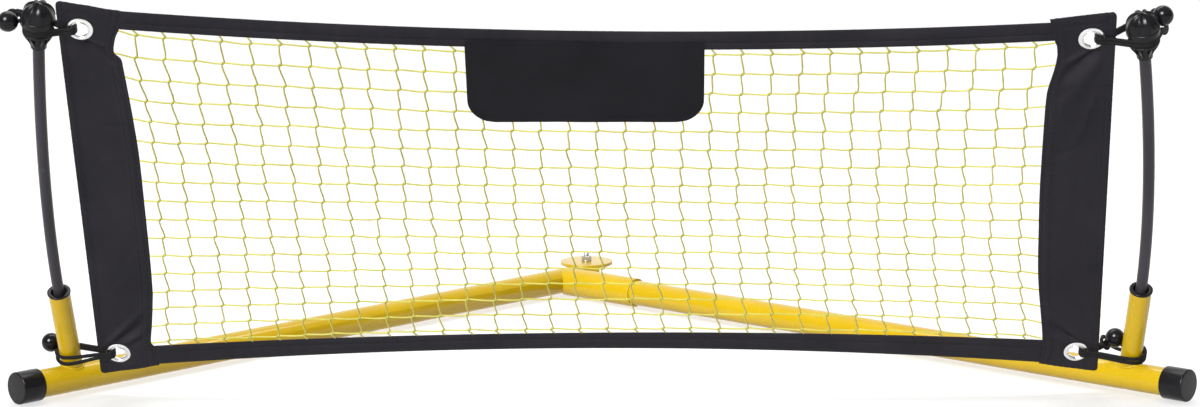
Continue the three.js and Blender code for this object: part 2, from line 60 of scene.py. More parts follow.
def meshOf(bm, name):
    mesh = bpy.data.meshes.new(name)
    bm.to_mesh(mesh)
    bm.free()
    return mesh


# the camera stands where the photograph was taken from
camera = {"place": (0.1073, -4.5777, 0.9368), "lens": 88.76, "yaw": -1.07, "pitch": -9.9, "roll": -0.39}


def makeCamera(c):
    yaw, pitch, roll = rad(c["yaw"]), rad(c["pitch"]), rad(c["roll"])
    ahead = Vector((math.sin(yaw) * math.cos(pitch), math.cos(yaw) * math.cos(pitch), math.sin(pitch)))
    right = Vector((math.cos(yaw), -math.sin(yaw), 0))
    above = right.cross(ahead)
    side = right * math.cos(roll) + above * math.sin(roll)
    over = above * math.cos(roll) - right * math.sin(roll)
    data = bpy.data.cameras.new("camera")
    data.lens, data.sensor_width = c["lens"], 36
    data.clip_end = 100
    obj = linked("camera", data)
    obj.matrix_world = Matrix.Translation(c["place"]) @ Matrix((side, over, -ahead)).transposed().to_4x4()
    bpy.context.scene.camera = obj


makeCamera(camera)
print("camera set")

# shader groups, built once and placed in each material with its own values


def newGroup(name, inputs, outputs):
    g = bpy.data.node_groups.new(name, "ShaderNodeTree")
    for label, value in inputs.items():
        g.interface.new_socket(label, in_out="INPUT", socket_type="NodeSocketFloat").default_value = value
    for label in outputs:
        g.interface.new_socket(label, in_out="OUTPUT", socket_type="NodeSocketFloat")
    return g, g.nodes.new("NodeGroupInput"), g.nodes.new("NodeGroupOutput")


def node(tree, kind, **values):
    n = tree.nodes.new(kind)
    for key, value in values.items():
        setattr(n, key, value)
    return n


def feed(tree, socket, x):
    # a number or a colour is set on the socket, and anything else is linked to it
    if isinstance(x, (int, float)):
        socket.default_value = x
    elif isinstance(x, tuple):
        socket.default_value = (*x, 1)
    elif x is not None:
        tree.links.new(x, socket)


def maths(tree, operation, a, b=None, clamp=False):
    n = node(tree, "ShaderNodeMath", operation=operation, use_clamp=clamp)
    for socket, x in zip(n.inputs, (a, b)):
        feed(tree, socket, x)
    return n.outputs[0]


def rangeOf(tree, value, low, high, toLow, toHigh, smooth=False):
    n = node(tree, "ShaderNodeMapRange", interpolation_type="SMOOTHSTEP" if smooth else "LINEAR")
    for label, x in zip(("Value", "From Min", "From Max", "To Min", "To Max"), (value, low, high, toLow, toHigh)):
        feed(tree, n.inputs[label], x)
    return n.outputs[0]


def blended(tree, factor, a, b):
    n = node(tree, "ShaderNodeMix", data_type="RGBA")
    # inputs 6 and 7 and output 2 are the mix node's colours
    for k, x in ((0, factor), (6, a), (7, b)):
        feed(tree, n.inputs[k], x)
    return n.outputs[2]


def uvParts(tree):
    split = node(tree, "ShaderNodeSeparateXYZ")
    tree.links.new(node(tree, "ShaderNodeTexCoord").outputs["UV"], split.inputs[0])
    return split.outputs[0], split.outputs[1]


def humps(tree, x):
    # rounded humps, one for each whole step of x
    return maths(tree, "ABSOLUTE", maths(tree, "SINE", maths(tree, "MULTIPLY", x, math.pi)))


def objectNoise(tree, scale, detail=3.0, roughness=0.5):
    n = node(tree, "ShaderNodeTexNoise")
    at = node(tree, "ShaderNodeTexCoord").outputs["Object"]
    for label, x in (("Vector", at), ("Scale", scale), ("Detail", detail), ("Roughness", roughness)):
        feed(tree, n.inputs[label], x)
    return n.outputs["Fac"]


def buildHandling():
    # faint handling marks: a cloudy mask for colour and roughness, and a fine grain for bump
    g, i, o = newGroup("handling", {"Cloud Scale": 9.0, "Grain Scale": 900.0, "Scuff Scale": 60.0},
                       ("Cloud", "Grain", "Scuff"))
    g.links.new(objectNoise(g, i.outputs["Cloud Scale"], 4.0), o.inputs["Cloud"])
    g.links.new(objectNoise(g, i.outputs["Grain Scale"], 2.0), o.inputs["Grain"])
    scuff = objectNoise(g, i.outputs["Scuff Scale"], 6.0, 0.72)
    g.links.new(rangeOf(g, scuff, 0.62, 0.72, 0.0, 1.0, True), o.inputs["Scuff"])
    return g


def buildSettledDust():
    # pale dust on faces that look up
    g, i, o = newGroup("settledDust", {"Amount": 0.2}, ("Mask",))
    split = node(g, "ShaderNodeSeparateXYZ")
    g.links.new(node(g, "ShaderNodeNewGeometry").outputs["Normal"], split.inputs[0])
    facing = rangeOf(g, split.outputs[2], 0.2, 1.0, 0.0, 1.0, True)
    patchy = rangeOf(g, objectNoise(g, 34.0, 5.0), 0.4, 0.75, 0.15, 1.0)
    g.links.new(maths(g, "MULTIPLY", maths(g, "MULTIPLY", facing, patchy), i.outputs["Amount"]), o.inputs["Mask"])
    return g


def buildPlainWeave():
    # plain weave on the piece's own UV map, which is in metres
    g, i, o = newGroup("plainWeave", {"Thread": 0.00075}, ("Height", "Shade"))
    wobble = rangeOf(g, objectNoise(g, 120.0, 2.0), 0.0, 1.0, -0.35, 0.35)
    warp, weft = (maths(g, "ADD", maths(g, "DIVIDE", x, i.outputs["Thread"]), wobble) for x in uvParts(g))
    steps = maths(g, "ADD", maths(g, "FLOOR", warp), maths(g, "FLOOR", weft))
    chequer = maths(g, "MODULO", maths(g, "ABSOLUTE", steps), 2.0)
    lifted = maths(g, "ADD", maths(g, "MULTIPLY", humps(g, warp), chequer),
                   maths(g, "MULTIPLY", humps(g, weft), maths(g, "SUBTRACT", 1.0, chequer)))
    g.links.new(lifted, o.inputs["Height"])
    g.links.new(rangeOf(g, objectNoise(g, 14.0, 5.0), 0.3, 0.7, 0.0, 1.0), o.inputs["Shade"])
    return g


def buildTwistedCord():
    # strands that run round a cord, on its UV map: U round it and V along it in metres, with a mask of the low places
    # between strands that is used for painted shade
    g, i, o = newGroup("twistedCord", {"Lay": 0.006, "Strands": 3.0}, ("Height", "GrooveShade"))
    u, v = uvParts(g)
    strand, along = maths(g, "MULTIPLY", u, i.outputs["Strands"]), maths(g, "DIVIDE", v, i.outputs["Lay"])
    height = humps(g, maths(g, "ADD", strand, along))
    g.links.new(height, o.inputs["Height"])
    # the mask of the grooves between strands, for painted shade
    g.links.new(rangeOf(g, height, 0.0, 0.45, 1.0, 0.0, True), o.inputs["GrooveShade"])
    return g


def buildBraid():
    # a braided sheath: two sets of yarns crossing
    g, i, o = newGroup("braid", {"Pitch": 0.0032, "Yarns": 8.0}, ("Height", "Fleck"))
    u, v = uvParts(g)
    yarn, along = maths(g, "MULTIPLY", u, i.outputs["Yarns"]), maths(g, "DIVIDE", v, i.outputs["Pitch"])
    crossing = [humps(g, maths(g, way, yarn, along)) for way in ("ADD", "SUBTRACT")]
    g.links.new(maths(g, "MULTIPLY", *crossing), o.inputs["Height"])
    g.links.new(rangeOf(g, objectNoise(g, 700.0, 1.0), 0.55, 0.75, 0.0, 1.0), o.inputs["Fleck"])
    return g


handling, settledDust = buildHandling(), buildSettledDust()
plainWeave, twistedCord, braid = buildPlainWeave(), buildTwistedCord(), buildBraid()


def place(tree, group, **values):
    n = node(tree, "ShaderNodeGroup", node_tree=group)
    for label, value in values.items():
        n.inputs[label.replace("_", " ")].default_value = value
    return n


def startMaterial(name, roughness, **shader):
    m = bpy.data.materials.new(name)
    m.use_nodes = True
    p = m.node_tree.nodes["Principled BSDF"]
    p.inputs["Roughness"].default_value = roughness
    for label, value in shader.items():
        p.inputs[label.replace("_", " ")].default_value = value
    return m, m.node_tree, p


def bump(tree, shader, height, strength, distance):
    n = node(tree, "ShaderNodeBump")
    for label, x in (("Strength", strength), ("Distance", distance), ("Height", height)):
        feed(tree, n.inputs[label], x)
    tree.links.new(n.outputs[0], shader.inputs["Normal"])


def hardFinish(name, low, high, scuffed, roughness, grainScale, grainDepth, dust, dustColour=(0.55, 0.52, 0.46),
               **shader):
    m, t, p = startMaterial(name, sum(roughness) / 2, **shader)
    marks = place(t, handling, Grain_Scale=grainScale)
    colour = blended(t, rangeOf(t, marks.outputs["Cloud"], 0.35, 0.65, 0.0, 1.0), low, high)
    colour = blended(t, maths(t, "MULTIPLY", marks.outputs["Scuff"], 0.35), colour, scuffed)
    settled = place(t, settledDust, Amount=dust)
    colour = blended(t, settled.outputs["Mask"], colour, dustColour)
    t.links.new(colour, p.inputs["Base Color"])
    rough = rangeOf(t, marks.outputs["Cloud"], 0.3, 0.7, roughness[0], roughness[1])
    rough = maths(t, "ADD", rough, maths(t, "MULTIPLY", marks.outputs["Scuff"], 0.1), True)
    t.links.new(maths(t, "ADD", rough, maths(t, "MULTIPLY", settled.outputs["Mask"], 0.4), True), p.inputs["Roughness"])
    bump(t, p, marks.outputs["Grain"], 0.35, grainDepth)
    return m


yellowCoat = hardFinish("yellowCoat", (0.350, 0.225, 0.0012), (0.385, 0.252, 0.0020), (0.44, 0.31, 0.015), (0.2, 0.3),
                        520.0, 0.00010, 0.02, Coat_Weight=0.35, Coat_Roughness=0.06, IOR=1.5, Specular_IOR_Level=0.2)
blackPlastic = hardFinish("blackPlastic", (0.0036, 0.0032, 0.0040), (0.0060, 0.0054, 0.0066), (0.015, 0.015, 0.016),
                          (0.2, 0.32), 1500.0, 0.00006, 0.02, dustColour=(0.04, 0.04, 0.04), IOR=1.48,
                          Specular_IOR_Level=0.22)
ballPlastic = hardFinish("ballPlastic", (0.0030, 0.0028, 0.0036), (0.0050, 0.0047, 0.0058), (0.015, 0.015, 0.015),
                         (0.14, 0.24), 900.0, 0.00004, 0.015, dustColour=(0.04, 0.04, 0.04), IOR=1.48,
                         Specular_IOR_Level=0.22)
poleGrey = hardFinish("poleGrey", (0.021, 0.0188, 0.0228), (0.029, 0.0262, 0.0312), (0.06, 0.06, 0.063), (0.3, 0.42),
                      1100.0, 0.00005, 0.02, dustColour=(0.08, 0.08, 0.08), IOR=1.5, Specular_IOR_Level=0.2)
zincPlate = hardFinish("zincPlate", (0.50, 0.50, 0.51), (0.60, 0.60, 0.60), (0.33, 0.32, 0.30), (0.2, 0.36),
                       1300.0, 0.00005, 0.04, Metallic=1.0)
nickelPlate = hardFinish("nickelPlate", (0.74, 0.74, 0.74), (0.82, 0.82, 0.82), (0.6, 0.6, 0.6), (0.16, 0.26),
                         900.0, 0.00003, 0.02, Metallic=1.0)


def makeFabric(name, low, high, sheen):
    m, t, p = startMaterial(name, 0.7, Sheen_Weight=sheen, Sheen_Roughness=0.4, Sheen_Tint=(0.6, 0.6, 0.68, 1),
                            Specular_IOR_Level=0.06)
    weave = place(t, plainWeave)
    shade = blended(t, weave.outputs["Shade"], low, high)
    # painted shade: the low places of the weave between the threads are darkened towards near black
    lifted = blended(t, rangeOf(t, weave.outputs["Height"], 0.0, 1.0, 0.5, 0.0), shade, (0.004, 0.004, 0.0045))
    lint = rangeOf(t, objectNoise(t, 900.0, 1.0), 0.74, 0.8, 0.0, 0.3)
    t.links.new(blended(t, lint, lifted, (0.07, 0.07, 0.078)), p.inputs["Base Color"])
    t.links.new(rangeOf(t, weave.outputs["Shade"], 0.0, 1.0, 0.5, 0.62), p.inputs["Roughness"])
    bump(t, p, weave.outputs["Height"], 0.5, 0.00022)
    return m


def makeNetCord():
    m, t, p = startMaterial("netCord", 0.6, Sheen_Weight=0.1)
    cord = place(t, twistedCord, Lay=0.0046, Strands=3.0)
    cloud = objectNoise(t, 22.0, 3.0)
    colour = blended(t, rangeOf(t, cloud, 0.3, 0.7, 0.0, 1.0), (0.32, 0.30, 0.028), (0.42, 0.39, 0.060))
    # painted shade: the grooves between the cord's strands are darkened
    colour = blended(t, maths(t, "MULTIPLY", cord.outputs["GrooveShade"], 0.55), colour, (0.17, 0.155, 0.010))
    t.links.new(colour, p.inputs["Base Color"])
    bump(t, p, cord.outputs["Height"], 0.6, 0.0003)
    return m


def makeStretchCord():
    m, t, p = startMaterial("stretchCord", 0.6, Sheen_Weight=0.02, Specular_IOR_Level=0.12)
    sheath = place(t, braid)
    # painted shade: the low places between the braid's yarns are darker and the raised crossings lighter
    colour = blended(t, sheath.outputs["Height"], (0.002, 0.002, 0.0022), (0.0062, 0.0062, 0.0068))
    t.links.new(blended(t, maths(t, "MULTIPLY", sheath.outputs["Fleck"], 0.4), colour, (0.014, 0.014, 0.015)),
                p.inputs["Base Color"])
    bump(t, p, sheath.outputs["Height"], 0.6, 0.0004)
    return m


def makeThread():
    m, t, p = startMaterial("sewingThread", 0.6, Specular_IOR_Level=0.1)
    cord = place(t, twistedCord, Lay=0.0012, Strands=2.0)
    # painted shade: the grooves of the twisted thread are darker
    t.links.new(blended(t, cord.outputs["GrooveShade"], (0.0105, 0.0100, 0.0120), (0.004, 0.004, 0.0046)),
                p.inputs["Base Color"])
    bump(t, p, cord.outputs["Height"], 0.4, 0.0001)
    return m


borderCloth = makeFabric("borderCloth", (0.0150, 0.0138, 0.0170), (0.0210, 0.0194, 0.0234), 0.015)
patchCloth = makeFabric("patchCloth", (0.0080, 0.0076, 0.0098), (0.0115, 0.0110, 0.0138), 0.01)
netCord, stretchCord, sewingThread = makeNetCord(), makeStretchCord(), makeThread()
print("materials made")


def pieceFrom(name, bm, material, body, cadNodes=(), angle=38):
    obj = linked(name, meshOf(bm, name))
    obj.data.materials.clear()
    obj.data.materials.append(material)
    for f in obj.data.polygons:
        f.use_smooth = True
    obj.data.set_sharp_from_angle(angle=rad(angle))
    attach(obj, body)
    if cadNodes:
        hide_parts(*cadNodes)
    return obj


def turned(profile, steps=72):
    # spins [radius, height] pairs in mm about Z; a profile off the axis is a closed ring
    bm = bmesh.new()
    vs = [bm.verts.new((r * mm, 0, z * mm)) for r, z in profile]
    es = [bm.edges.new(pair) for pair in zip(vs, vs[1:])]
    if profile[0][0] > 0:
        es.append(bm.edges.new((vs[-1], vs[0])))
    bmesh.ops.spin(bm, geom=vs + es, axis=(0, 0, 1), cent=(0, 0, 0), steps=steps, angle=2 * math.pi, use_merge=True)
    bmesh.ops.remove_doubles(bm, verts=bm.verts, dist=1e-7)
    bmesh.ops.recalc_face_normals(bm, faces=bm.faces)
    return bm


def rounded(profile, radius, only=None, steps=4):
    # rounds the corners of a closed profile by the same radius, or only those listed
    out, n = [], len(profile)
    for k, p in enumerate(profile):
        a, b = Vector(profile[k - 1]), Vector(profile[(k + 1) % n])
        p = Vector(p)
        onAxis = profile[0][0] == 0 and k in (0, n - 1)
        if onAxis or (only is not None and k not in only):
            out.append(tuple(p))
            continue
        da, db = (a - p), (b - p)
        r = min(radius, da.length * 0.48, db.length * 0.48)
        start, end = p + da.normalized() * r, p + db.normalized() * r
        for j in range(steps + 1):
            t = j / steps
            out.append(tuple(start * (1 - t) ** 2 + p * 2 * t * (1 - t) + end * t * t))
    return out


def mix(a, b, share):
    return a + (b - a) * share


def ease(x, low, high):
    t = min(max((x - low) / (high - low), 0.0), 1.0)
    return t * t * (3 - 2 * t)


def basis(x, y, z, at):
    return Matrix.Translation(at) @ Matrix((x, y, z)).transposed().to_4x4()


def along(direction, at, hint=upZ):
    z = direction.normalized()
    x = hint.cross(z)
    x = x.normalized() if x.length > 1e-6 else Vector((1, 0, 0))
    return basis(x, z.cross(x), z, at)


def moved(bm, matrix):
    bmesh.ops.transform(bm, matrix=matrix, verts=bm.verts)
    return bm


def newVerts(made):
    return [v for v in made["geom"] if isinstance(v, bmesh.types.BMVert)]


def carved(bm, cutter, operation="DIFFERENCE"):
    # one exact boolean, with both working copies removed afterwards
    a, b = linked("working", meshOf(bm, "working")), linked("cutter", meshOf(cutter, "cutter"))
    mod = a.modifiers.new("cut", "BOOLEAN")
    mod.object, mod.operation, mod.solver = b, operation, "EXACT"
    done = bpy.data.meshes.new_from_object(a.evaluated_get(bpy.context.evaluated_depsgraph_get()))
    out = bmesh.new()
    out.from_mesh(done)
    for obj in (a, b):
        bpy.data.objects.remove(obj)
    bpy.data.meshes.remove(done)
    return out


def smoothRoute(points, per):
    # a centripetal spline through the points, like the one that the solids follow
    pts = [Vector(p) for p in points]
    pts = [pts[0] * 2 - pts[1], *pts, pts[-1] * 2 - pts[-2]]
    out = []
    for four in zip(pts, pts[1:], pts[2:], pts[3:]):
        knots = [0.0]
        for p, q in zip(four, four[1:]):
            knots.append(knots[-1] + max((q - p).length, 1e-9) ** 0.5)
        for k in range(per):
            t = mix(knots[1], knots[2], k / per)
            between = lambda p, q, i, j: mix(p, q, (t - knots[i]) / (knots[j] - knots[i]))
            a, b, c = (between(four[n], four[n + 1], n, n + 1) for n in range(3))
            out.append(between(between(a, b, 0, 2), between(b, c, 1, 3), 1, 2))
    return out + [pts[-2]]


def cordMesh(routes, radius, resolution, closed=False):
    # sweeps round cords along routes, with U round each cord and V along it in metres
    data = bpy.data.curves.new("cord", "CURVE")
    data.dimensions, data.bevel_depth, data.bevel_resolution = "3D", radius, resolution
    data.use_fill_caps = True
    for route in routes:
        s = data.splines.new("POLY")
        s.points.add(len(route) - 1)
        s.points.foreach_set("co", [x for p in route for x in (*p, 1)])
        s.use_cyclic_u = closed
    obj = linked("cord", data)
    mesh = bpy.data.meshes.new_from_object(obj.evaluated_get(bpy.context.evaluated_depsgraph_get()))
    bpy.data.objects.remove(obj)
    return mesh


def cordUv(mesh, routes, sides, closed=False):
    # the sweep lays both end discs of every cord first, then its rings in order
    spots = np.zeros((len(mesh.vertices), 2))
    k = 0 if closed else 2 * sides * len(routes)
    for route in routes:
        far = 0.0
        for n, p in enumerate(route):
            far += (Vector(p) - Vector(route[n - 1])).length if n else 0.0
            for j in range(sides):
                spots[k] = (j / sides, far)
                k += 1
    corners = np.empty(len(mesh.loops), dtype=int)
    mesh.loops.foreach_get("vertex_index", corners)
    uv = spots[corners]
    for f in mesh.polygons:
        span = list(f.loop_indices)
        if max(uv[k][0] for k in span) - min(uv[k][0] for k in span) > 0.5:
            for k in span:
                if uv[k][0] < 0.5:
                    uv[k] = (uv[k][0] + 1, uv[k][1])
    layer = mesh.uv_layers.get("UVMap") or mesh.uv_layers.new(name="UVMap")
    layer.data.foreach_set("uv", uv.astype(np.float32).ravel())


def cordPiece(name, routes, radius, resolution, material, body, cadNodes=(), closed=False):
    swept = cordMesh(routes, radius * mm, resolution, closed)
    cordUv(swept, routes, 4 + 2 * resolution, closed)
    bm = bmesh.new()
    bm.from_mesh(swept)
    bpy.data.meshes.remove(swept)
    # the end discs are joined to the cords
    bmesh.ops.remove_doubles(bm, verts=bm.verts, dist=1e-7)
    return pieceFrom(name, bm, material, body, cadNodes, 60)


# sizes are in mm and degrees
base = {"axisHeight": 21.9, "armOuter": 38, "armWall": 1.5, "nose": 20.5, "rightTubeStart": 28.5, "studHole": 8.6,
        "capOuter": 43.8, "capLength": 34, "capFace": 3, "capEdge": 2.2, "capMouthEdge": 0.8,
        "leftBearing": 225.4, "rightBearing": 319.75, "leftReach": 1058.5, "rightReach": 1107.5,
        "hingeOffset": 50, "gap": 0.3, "plateGap": 0.4}


def bearing(degrees):
    return Vector((math.cos(rad(degrees)), math.sin(rad(degrees)), 0))


leftWay, rightWay = bearing(base["leftBearing"]), bearing(base["rightBearing"])
leftStart = Vector((0, 0, base["axisHeight"] * mm))
rightStart = leftStart + Vector((rightWay.y, -rightWay.x, 0)) * base["hingeOffset"] * mm
armRadius = base["armOuter"] / 2


def pipeProfile(outer, inner, low, high, edge=0.5):
    return rounded([(inner, low), (outer, low), (outer, high), (inner, high)], edge)


def bar(radius, low, high, steps=64):
    return turned([(0, low), (radius, low), (radius, high), (0, high)], steps)


def makeArms():
    r, bore = armRadius, armRadius - base["armWall"]
    leftEnd, rightEnd = base["leftReach"] - base["capFace"], base["rightReach"] - base["capFace"]
    nose = base["nose"]
    left = moved(turned(pipeProfile(r, bore, -nose, leftEnd)), along(leftWay, leftStart))
    # the left tube's end is rounded about the stud
    keep = carved(bar(nose, -5, 60), moved(bar(r + 2, 0, 1100, 24), along(leftWay, leftStart)), "UNION")
    left = carved(left, keep, "INTERSECT")
    left = carved(left, bar(base["studHole"] / 2, -5, 60, 32))
    pieceFrom("leftArm", left, yellowCoat, "left_arm", ["left_arm_tube"])
    right = moved(turned(pipeProfile(r, bore, base["rightTubeStart"], rightEnd)), along(rightWay, rightStart))
    pieceFrom("rightArm", right, yellowCoat, "base", ["right_arm_tube"])


makeArms()


def makeCap(name, way, start, reach, body, cadNode):
    r, inner, mouth = base["capOuter"] / 2, armRadius + base["gap"], reach - base["capLength"]
    profile = [(0, reach), (r, reach), (r, mouth), (inner, mouth), (inner, reach - base["capFace"]),
               (0, reach - base["capFace"])]
    profile = rounded(profile, base["capMouthEdge"], only=(2, 3), steps=3)
    profile = profile[:1] + rounded(profile, base["capEdge"], only=(1,), steps=6)[1:]
    bm = moved(turned(profile, 96), along(way, start))
    pieceFrom(name, bm, blackPlastic, body, [cadNode])


makeCap("leftEndCap", leftWay, leftStart, base["leftReach"], "left_arm", "left_end_cap")
makeCap("rightEndCap", rightWay, rightStart, base["rightReach"], "base", "right_end_cap")

hinge = {"plateOuter": 82, "topPlate": 5, "floorPlate": 2.5, "sleeveOuter": 43.8, "sleeveStart": 5, "sleeveEnd": 146,
         "stud": 8, "core": 6.8, "pitch": 1.25, "tip": 4.5, "nutFlats": 13, "nutHeight": 6.5, "nutBore": 8.5,
         "washerOuter": 16, "washerThick": 1.6}


def makeHinge():
    h = hinge
    r, hole, inner = h["plateOuter"] / 2, base["studHole"] / 2, armRadius + base["gap"]
    plateLow = base["axisHeight"] + armRadius + base["plateGap"]
    plateHigh = plateLow + h["topPlate"]
    # the sleeve is coped round the left tube
    cope = moved(bar(armRadius + base["plateGap"], -10, 130, 72), along(leftWay, leftStart))
    sleeve = turned(pipeProfile(h["sleeveOuter"] / 2, inner, h["sleeveStart"], h["sleeveEnd"], 0.9))
    sleeve = carved(moved(sleeve, along(rightWay, rightStart)), cope)
    topPlate = turned(pipeProfile(r, hole, plateLow, plateHigh, 1.0), 96)
    topPlate = carved(topPlate, moved(bar(inner, -5, 160, 64), along(rightWay, rightStart)))
    floorPlate = turned(rounded([(0, 0), (r, 0), (r, h["floorPlate"]), (0, h["floorPlate"])], 0.5), 96)
    body = carved(carved(sleeve, topPlate, "UNION"), floorPlate, "UNION")
    pieceFrom("hingeBracket", body, yellowCoat, "base", ["hinge_bracket"], angle=30)

    low = plateHigh + h["washerThick"]
    high, flat, corner = low + h["nutHeight"], h["nutFlats"] / 2, h["nutFlats"] / math.sqrt(3)
    # the stud is plain up to the plate's top and threaded above it
    studTop, crest, root, z = high + h["tip"], h["stud"] / 2, h["core"] / 2, plateHigh
    thread = [(0, h["floorPlate"]), (crest, h["floorPlate"]), (crest, plateHigh)]
    while z < studTop - 1.4:
        thread += [(crest, z + 0.3), (root, z + 0.75), (crest, z + 1.2)]
        z += h["pitch"]
    thread += [(root - 0.2, studTop), (0, studTop)]
    pieceFrom("pivotStud", turned(thread, 32), zincPlate, "base", ["pivot_stud"], 30)
    washer = turned(pipeProfile(h["washerOuter"] / 2, hole, plateHigh, low, 0.35), 48)
    pieceFrom("pivotWasher", washer, zincPlate, "base", ["pivot_washer"], 30)
    nut = bar(corner, low, high, 6)
    cone = turned([(0, low), (corner - 0.5, low), (corner + 0.1, low + 0.8), (corner + 0.1, high - 1),
                   (flat - 0.2, high), (0, high)], 64)
    nut = carved(carved(nut, cone, "INTERSECT"), bar(h["nutBore"] / 2, low - 1, high + 1, 32))
    pieceFrom("pivotNut", nut, zincPlate, "base", ["pivot_nut"], 25)


makeHinge()
print("base made")

post = {"setBack": 90, "outer": 28.6, "wall": 1.5, "rise": 125, "leanForward": 28.4, "leanOutward": 1.0,
        "flange": 31, "flangeThick": 3, "collarDepth": 42, "mouth": 21.4, "mouthDepth": 9, "pole": 15,
        "poleLength": 535, "poleDepth": 116, "leftRaised": 22, "leftBend": 38, "rightBend": 46, "bendPower": 1.7,
        "bead": 3.4}
top = {"dome": 40.4, "brim": -1.4, "ribs": 8, "rib": 2.6, "firstRib": 22.5, "dent": 0.05, "rimOuter": 42, "rimTop": -6,
       "rimThick": 3, "waist": 29, "waistHeight": 11.4, "skirt": 40, "skirtThick": 2.6, "socket": 20, "socketEnd": -46,
       "gusset": 2.4, "gussetEdge": 0.35, "poleStop": -2}
poleBore = post["pole"] / 2 + base["gap"]


def weldBead(name, stubRadius, foot, up, way, axisPoint, body):
    # the bead lies where the stub's wall meets the arm's, found by walking round the stub
    m, steps = along(up, foot), 120
    x, y = m.col[0].to_3d(), m.col[1].to_3d()
    rise = up - way * up.dot(way)
    ring = []
    for k in range(steps):
        a = 2 * math.pi * k / steps
        p = foot + (x * math.cos(a) + y * math.sin(a)) * (stubRadius + 0.6) * mm
        away = p - axisPoint
        away -= way * away.dot(way)
        aa, bb, cc = rise.dot(rise), 2 * away.dot(rise), away.dot(away) - ((armRadius + 0.4) * mm) ** 2
        t = (-bb + math.sqrt(max(bb * bb - 4 * aa * cc, 0))) / (2 * aa)
        ring.append(p + up * (t + 0.25 * mm * math.sin(k * 2.1)))
    cordPiece(name, [ring], post["bead"] / 2, 3, yellowCoat, body, closed=True)


def domeProfile():
    t = top
    r, low = t["dome"] / 2, t["rimTop"] - t["rimThick"]
    waistLow = low - t["waistHeight"]
    arc = [(r * math.cos(a), r * math.sin(a)) for a in np.linspace(math.pi / 2, math.asin(t["brim"] / r), 25)]
    arc[0] = (0, r)
    rim = rounded([(r - 0.2, t["brim"]), (t["rimOuter"] / 2, t["brim"] - 0.5), (t["rimOuter"] / 2, low),
                   (t["waist"] / 2, low - 0.4), (t["waist"] / 2, waistLow + 0.4), (t["skirt"] / 2, waistLow),
                   (t["skirt"] / 2, waistLow - t["skirtThick"]),
                   (t["socket"] / 2 + 1.5, waistLow - t["skirtThick"] - 2), (t["socket"] / 2, t["socketEnd"]),
                   (poleBore, t["socketEnd"])], 0.7, only=(1, 2, 3, 4, 5, 6, 8))
    return arc[:-1] + rim + [(poleBore, t["poleStop"]), (0, t["poleStop"])], waistLow


def takeIn(bm, mesh):
    bm.from_mesh(mesh)
    bpy.data.meshes.remove(mesh)


def makePoleTop(name, matrix, body, cadNode):
    t = top
    profile, waistLow = domeProfile()
    bm = turned(profile, 80)
    r, half, first = t["dome"] / 2, t["ribs"] // 2, rad(t["firstRib"])
    for v in bm.verts:
        # the dome dips between its ribs
        if v.co.z > t["brim"] * mm:
            dip = t["dent"] * math.sin(half * (math.atan2(v.co.y, v.co.x) - first)) ** 2
            v.co *= 1 - dip * ease(v.co.z / mm, t["brim"], 7) * ease(math.hypot(v.co.x, v.co.y) / mm, 1, 9)
    # each cord runs over the dome and makes two ribs
    ribs = []
    for k in range(half):
        a = math.pi * k / half + first
        ribs.append([Vector((math.cos(a) * r * math.cos(e), math.sin(a) * r * math.cos(e), r * math.sin(e))) * mm
                     for e in np.linspace(rad(-2), rad(182), 41)])
    takeIn(bm, cordMesh(ribs, t["rib"] / 2 * mm, 3))
    # a gusset under each rib, from the socket to the skirt
    upper, reach, inner = waistLow - t["skirtThick"] + 0.3, t["skirt"] / 2 - 0.8, poleBore + 0.8
    socket, low = t["socket"] / 2, t["socketEnd"] + 5
    outline = [(inner, upper), (inner, low), (socket + 0.4, low), (socket + 2.6, low + 5), (reach - 2.2, upper - 6.5),
               (reach, upper - 2.2), (reach, upper)]
    for k in range(t["ribs"]):
        web = bmesh.new()
        face = web.faces.new([web.verts.new((x * mm, -t["gusset"] / 2 * mm, z * mm)) for x, z in outline])
        grown = newVerts(bmesh.ops.extrude_face_region(web, geom=[face]))
        bmesh.ops.translate(web, vec=(0, t["gusset"] * mm, 0), verts=grown)
        bmesh.ops.recalc_face_normals(web, faces=web.faces)
        bmesh.ops.bevel(web, geom=list(web.edges), offset=t["gussetEdge"] * mm, segments=2, profile=0.5,
                        affect="EDGES", material=-1)
        moved(web, Matrix.Rotation(2 * math.pi / t["ribs"] * k + first, 4, "Z"))
        takeIn(bm, meshOf(web, "web"))
    moved(bm, matrix)
    pieceFrom(name, bm, blackPlastic, body, [cadNode], 34)


